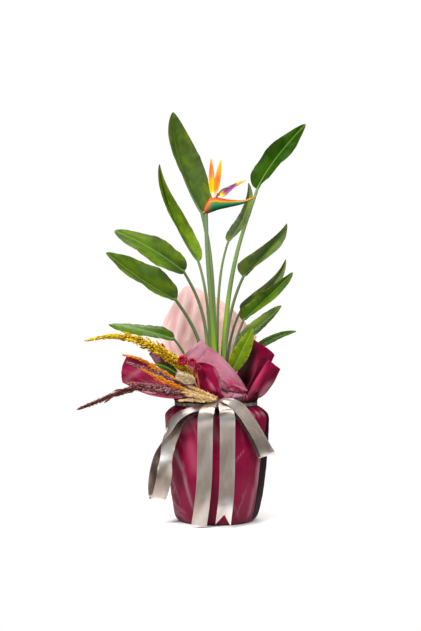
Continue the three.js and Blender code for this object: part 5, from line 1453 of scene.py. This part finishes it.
# Pods: ribbed cups that open towards the front. Each has its middle, where it opens, its radius.
PODS = [
    ((-83, -156, 420), (-0.25, -0.95, 0.1), 12.5),
    ((-60, -152, 415), (0.1, -0.95, 0.2), 10.5),
    ((-46, -143, 401), (0.35, -0.85, 0.3), 8),
]
POD_SEAT, POD_FORK, POD_RIBS = (2.2, 4.6), (-46, -136, 372), 9
POD_PROFILE = [(0.02, -1), (0.4, -0.92), (0.75, -0.7), (1, -0.05), (0.98, 0.35), (0.84, 0.62),
               (0.66, 0.70), (0.5, 0.62), (0.42, 0.42), (0.32, 0.3), (0.16, 0.34), (0.02, 0.38)]
POD_ROWS, POD_RIM = 60, 33


def pod_solids():
    made = []
    for number, (at, opens, radius) in enumerate(PODS):
        at, opens = np.array(at, float), unit(opens)
        r, z = (spline(POD_PROFILE)(np.linspace(0, 1, POD_ROWS)) * radius).T[..., None]
        row = np.arange(POD_ROWS)[:, None]
        turn = around(72)[None]
        ribs = np.cos(POD_RIBS * turn)
        lobes = 1 + 0.055 * ribs * smooth(-0.9, 0.1, z / radius) + 0.02 * np.sin(4 * turn + number)
        rim = 0.1 * radius * ribs * bell(row, POD_RIM, 9)
        side = unit(np.cross(UP, opens))
        up = np.cross(opens, side)
        rings = at + opens * (z + rim)[..., None] + (r * lobes)[..., None] * (
            side * np.cos(turn)[..., None] + up * np.sin(turn)[..., None])
        made.append(skinned(rings, depth=smooth(POD_RIM, 46, row), tone=0.5 + 0.5 * ribs))
        back = at - opens * 0.7 * radius
        line = seated(POD_SEAT, [POD_FORK, back])(np.linspace(0, 1, 50))
        made.append(tube(line, 1.25, 8, straw=1.0))
    return made


def pod_paint():
    paint = Paint("dyed_pods", roughness=0.5, specular_ior_level=0.2)
    body = paint.ramp(paint.value("tone"), (0.1, (0.22, 0.003, 0.014)), (0.9, (0.50, 0.008, 0.04)))
    grain = paint.noise(240, 3)
    body = paint.blend(paint.span(grain, 0.4, 0.75, 0, 0.6), body, (0.12, 0.002, 0.008))
    inside = paint.ramp(paint.noise(420, 3), (0.4, (0.035, 0.003, 0.008)), (0.62, (0.30, 0.02, 0.04)))
    body = paint.blend(paint.value("depth"), body, inside)
    paint.set("Base Color", paint.blend(paint.value("straw"), body, (0.50, 0.12, 0.03)))
    paint.bump(grain, 0.5, 0.6)
    return paint.material


piece("spray_red_pods", pod_solids(), pod_paint(), ["spray_pods"])

SPRAY_LEAF = dict(LEAF, joint=(-98, -128, 384), mid=(-126, -130, 402), tip=(-154, -130, 409),
                  face=(0.1, -0.85, 0.5), halves=(11, 11), folds=(12, 12), frill=0.4, camber=0.1,
                  top=(0.025, 0.06, 0.006), under=(0.06, 0.09, 0.03), stem=(0.10, 0.09, 0.04))
grid, marks = blade_grid(SPRAY_LEAF, blade_outline, 44, 8, 77)
# The tip stays green
marks["rise"] = marks["rise"] * 0.9
leaf_end = np.array(SPRAY_LEAF["joint"]) + tangent(rib_of(SPRAY_LEAF), [0.0])[0] * 8
stem = seated((-6.8, 2.2), [(-64, -120, 362), (-84, -124, 374), leaf_end])(np.linspace(0, 1, 60))
piece("spray_leathery_leaf",
      [thin(grid, 0.7, **marks), tube(stem, 1.25, 8, SPRAY_LEAF["face"], stalk=0.3)],
      leaf_paint("spray_leaf", SPRAY_LEAF, 70.0), ["spray_leaf"])


def tie_solids():
    """Raffia, wound in overlapping turns."""
    turn = around(40)[None]
    d = np.linspace(-TIE_HALF, TIE_HALF, 64)[:, None]
    step = (d / (2 * TIE_HALF) * TIE_TURNS + turn / (2 * math.pi)) % 1
    radius = TIE_RADIUS * (1 - 0.07 * step + 0.02 * np.sin(3 * turn))
    radius = radius * mix(0.9, 1, smooth(0, 0.14, 1 - np.abs(d) / TIE_HALF))
    rings = np.array(TIE_AT) + tie_along * d[..., None] + radius[..., None] * (
        tie_side * np.cos(turn)[..., None] - tie_up * np.sin(turn)[..., None])
    return [skinned(rings[:, ::-1])]


raffia = speckled("raffia_tie", 160, 3, ((0.3, (0.20, 0.12, 0.045)), (0.7, (0.46, 0.32, 0.14))),
                  (500, 3, 0.5, 0.4), roughness=0.75)
piece("spray_wound_tape", tie_solids(), raffia.material, ["spray_tie"], 30)


# Pot and soil

plastic = speckled("moulded_plastic", 30, 3, ((0.3, (0.022, 0.022, 0.024)),
                                              (0.7, (0.035, 0.035, 0.038))),
                   (1500, 2, 0.15, 0.1), specular_ior_level=0.4)
plastic.set("Roughness", plastic.span(plastic.noise(200, 2), 0.3, 0.7, 0.45, 0.65))
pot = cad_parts["nursery_pot"]
pot.data.materials.clear()
pot.data.materials.append(plastic.material)

SOIL_LOW, SOIL_EDGE, SOIL_FOOT = 4.7, 114.1, 82.7
CRUMB = spindle([(0.3, 0.5), (0.7, 0.42)], 5)
CRUMBS = 2400


def soil_solids():
    """A rough bed of soil with crumbs on it."""
    turn = np.linspace(0, 360, 160, endpoint=False)[None]
    ring = np.linspace(1, 0.003, 70)[:, None]
    x, y = np.moveaxis(polar(turn, (SOIL_EDGE - 2.5) * ring, 0), -1, 0)[:2]
    heap = SOIL_TOP - 2 + 1.6 * wobble(x, y, 81, 40) + 0.9 * wobble(x, y, 82, 12)
    heap = heap + 0.5 * wobble(x, y, 83, 5) - 3 * smooth(0.9, 1, ring)
    side = polar(turn, np.array([[SOIL_FOOT], [SOIL_EDGE - 2.2]]),
                 np.array([[SOIL_LOW], [SOIL_TOP - 9.0]]))
    bed = skinned(np.concatenate([side, np.stack([x, y, heap], -1)]))
    rng = np.random.default_rng(84)
    far = (SOIL_EDGE - 6) * np.sqrt(rng.uniform(0, 1, CRUMBS))
    at = polar(rng.uniform(0, 360, CRUMBS), far, SOIL_TOP - 1 + rng.uniform(-1.5, 1.2, CRUMBS))
    size = rng.uniform(1.4, 4.6, (CRUMBS, 1)) * rng.uniform(0.6, 1.2, (CRUMBS, 3))
    return [bed, copies(CRUMB, at, rng.normal(0, 1, (CRUMBS, 3)), size)]


earth = speckled("potting_soil", 260, 4, ((0.3, (0.022, 0.013, 0.008)),
                                          (0.62, (0.06, 0.036, 0.02)), (0.8, (0.13, 0.08, 0.045))),
                 (700, 4, 0.8, 1.0), roughness=0.95, specular_ior_level=0.2)
piece("soil_bed", soil_solids(), earth.material, ["soil"], 180)


# Floor and light

FLOOR_REACH = 7.0
# Place, what it faces, width and height in metres, and power in watts
LIGHTS = {
    "key": ((-1.7, -2.3, 3.0), (0, 0, 0.5), (1.2, 1.2), 150),
    "fill": ((2.0, -2.3, 2.6), (0, 0, 0.5), (1.4, 1.4), 62),
    "left": ((-3.0, -0.6, 0.9), (0, 0, 0.5), (0.6, 2.0), 12),
    "right": ((2.9, -0.3, 1.0), (0, 0, 0.5), (0.3, 1.8), 5),
    "top": ((0.1, -0.3, 3.2), (0, 0, 0.4), (1.0, 1.0), 30),
    "strip": ((0, -1.85, 2.4), (0, -0.1, 0.3), (1.6, 0.2), 16),
    "back": ((-0.3, 1.6, 2.35), (0, 0, 0.4), (1.4, 0.8), 34),
}
WORLD_LIGHT, WORLD_MIRRORED = 0.36, 0.06


def stage_floor():
    """A pale floor that fades out, so that no horizon shows behind the object."""
    mesh = bpy.data.meshes.new("floor")
    r = FLOOR_REACH
    mesh.from_pydata([(-r, -r, 0), (r, -r, 0), (r, r, 0), (-r, r, 0)], [], [(0, 1, 2, 3)])
    floor = added("floor", mesh)
    floor.location.z = -0.0004
    paint = Paint("floor", base_color=(0.93, 0.93, 0.93), roughness=0.9, specular_ior_level=0.1)
    away = paint.node("VectorMath", {0: paint.place()}, "Value", operation="LENGTH")
    clear = paint.tree.nodes.new("ShaderNodeBsdfTransparent")
    both = paint.tree.nodes.new("ShaderNodeMixShader")
    links = paint.tree.links
    links.new(paint.span(away, 0.2, 0.75), both.inputs[0])
    links.new(paint.shader.outputs[0], both.inputs[1])
    links.new(clear.outputs[0], both.inputs[2])
    links.new(both.outputs[0], paint.tree.nodes["Material Output"].inputs[0])
    mesh.materials.append(paint.material)


def area_light(name, at, towards, size, power):
    light = bpy.data.lights.new(name, "AREA")
    light.shape = "RECTANGLE"
    light.size, light.size_y = size
    light.energy = power
    made = added(name, light)
    made.location = at
    x, y, z = np.array(towards, float) - np.array(at, float)
    made.rotation_euler = (math.atan2(math.hypot(x, y), -z), 0, math.atan2(y, x) - math.pi / 2)


stage_floor()
for name, light in LIGHTS.items():
    area_light(name, *light)

# The world is white to the camera, dim to the object and dimmer in what it mirrors
world = bpy.data.worlds.new("studio")
bpy.context.scene.world = world
world.use_nodes = True
nodes, links = world.node_tree.nodes, world.node_tree.links
nodes["Background"].inputs[0].default_value = (1, 1, 1, 1)
path = nodes.new("ShaderNodeLightPath")
mirrored = nodes.new("ShaderNodeMapRange")
mirrored.inputs["To Min"].default_value = WORLD_LIGHT
mirrored.inputs["To Max"].default_value = WORLD_MIRRORED
links.new(path.outputs["Is Glossy Ray"], mirrored.inputs["Value"])
strength = nodes.new("ShaderNodeMath")
strength.operation = "MAXIMUM"
links.new(path.outputs["Is Camera Ray"], strength.inputs[0])
links.new(mirrored.outputs[0], strength.inputs[1])
links.new(strength.outputs[0], nodes["Background"].inputs[1])


def corners(box):
    return [[float(c) for c in corner] for corner in box]
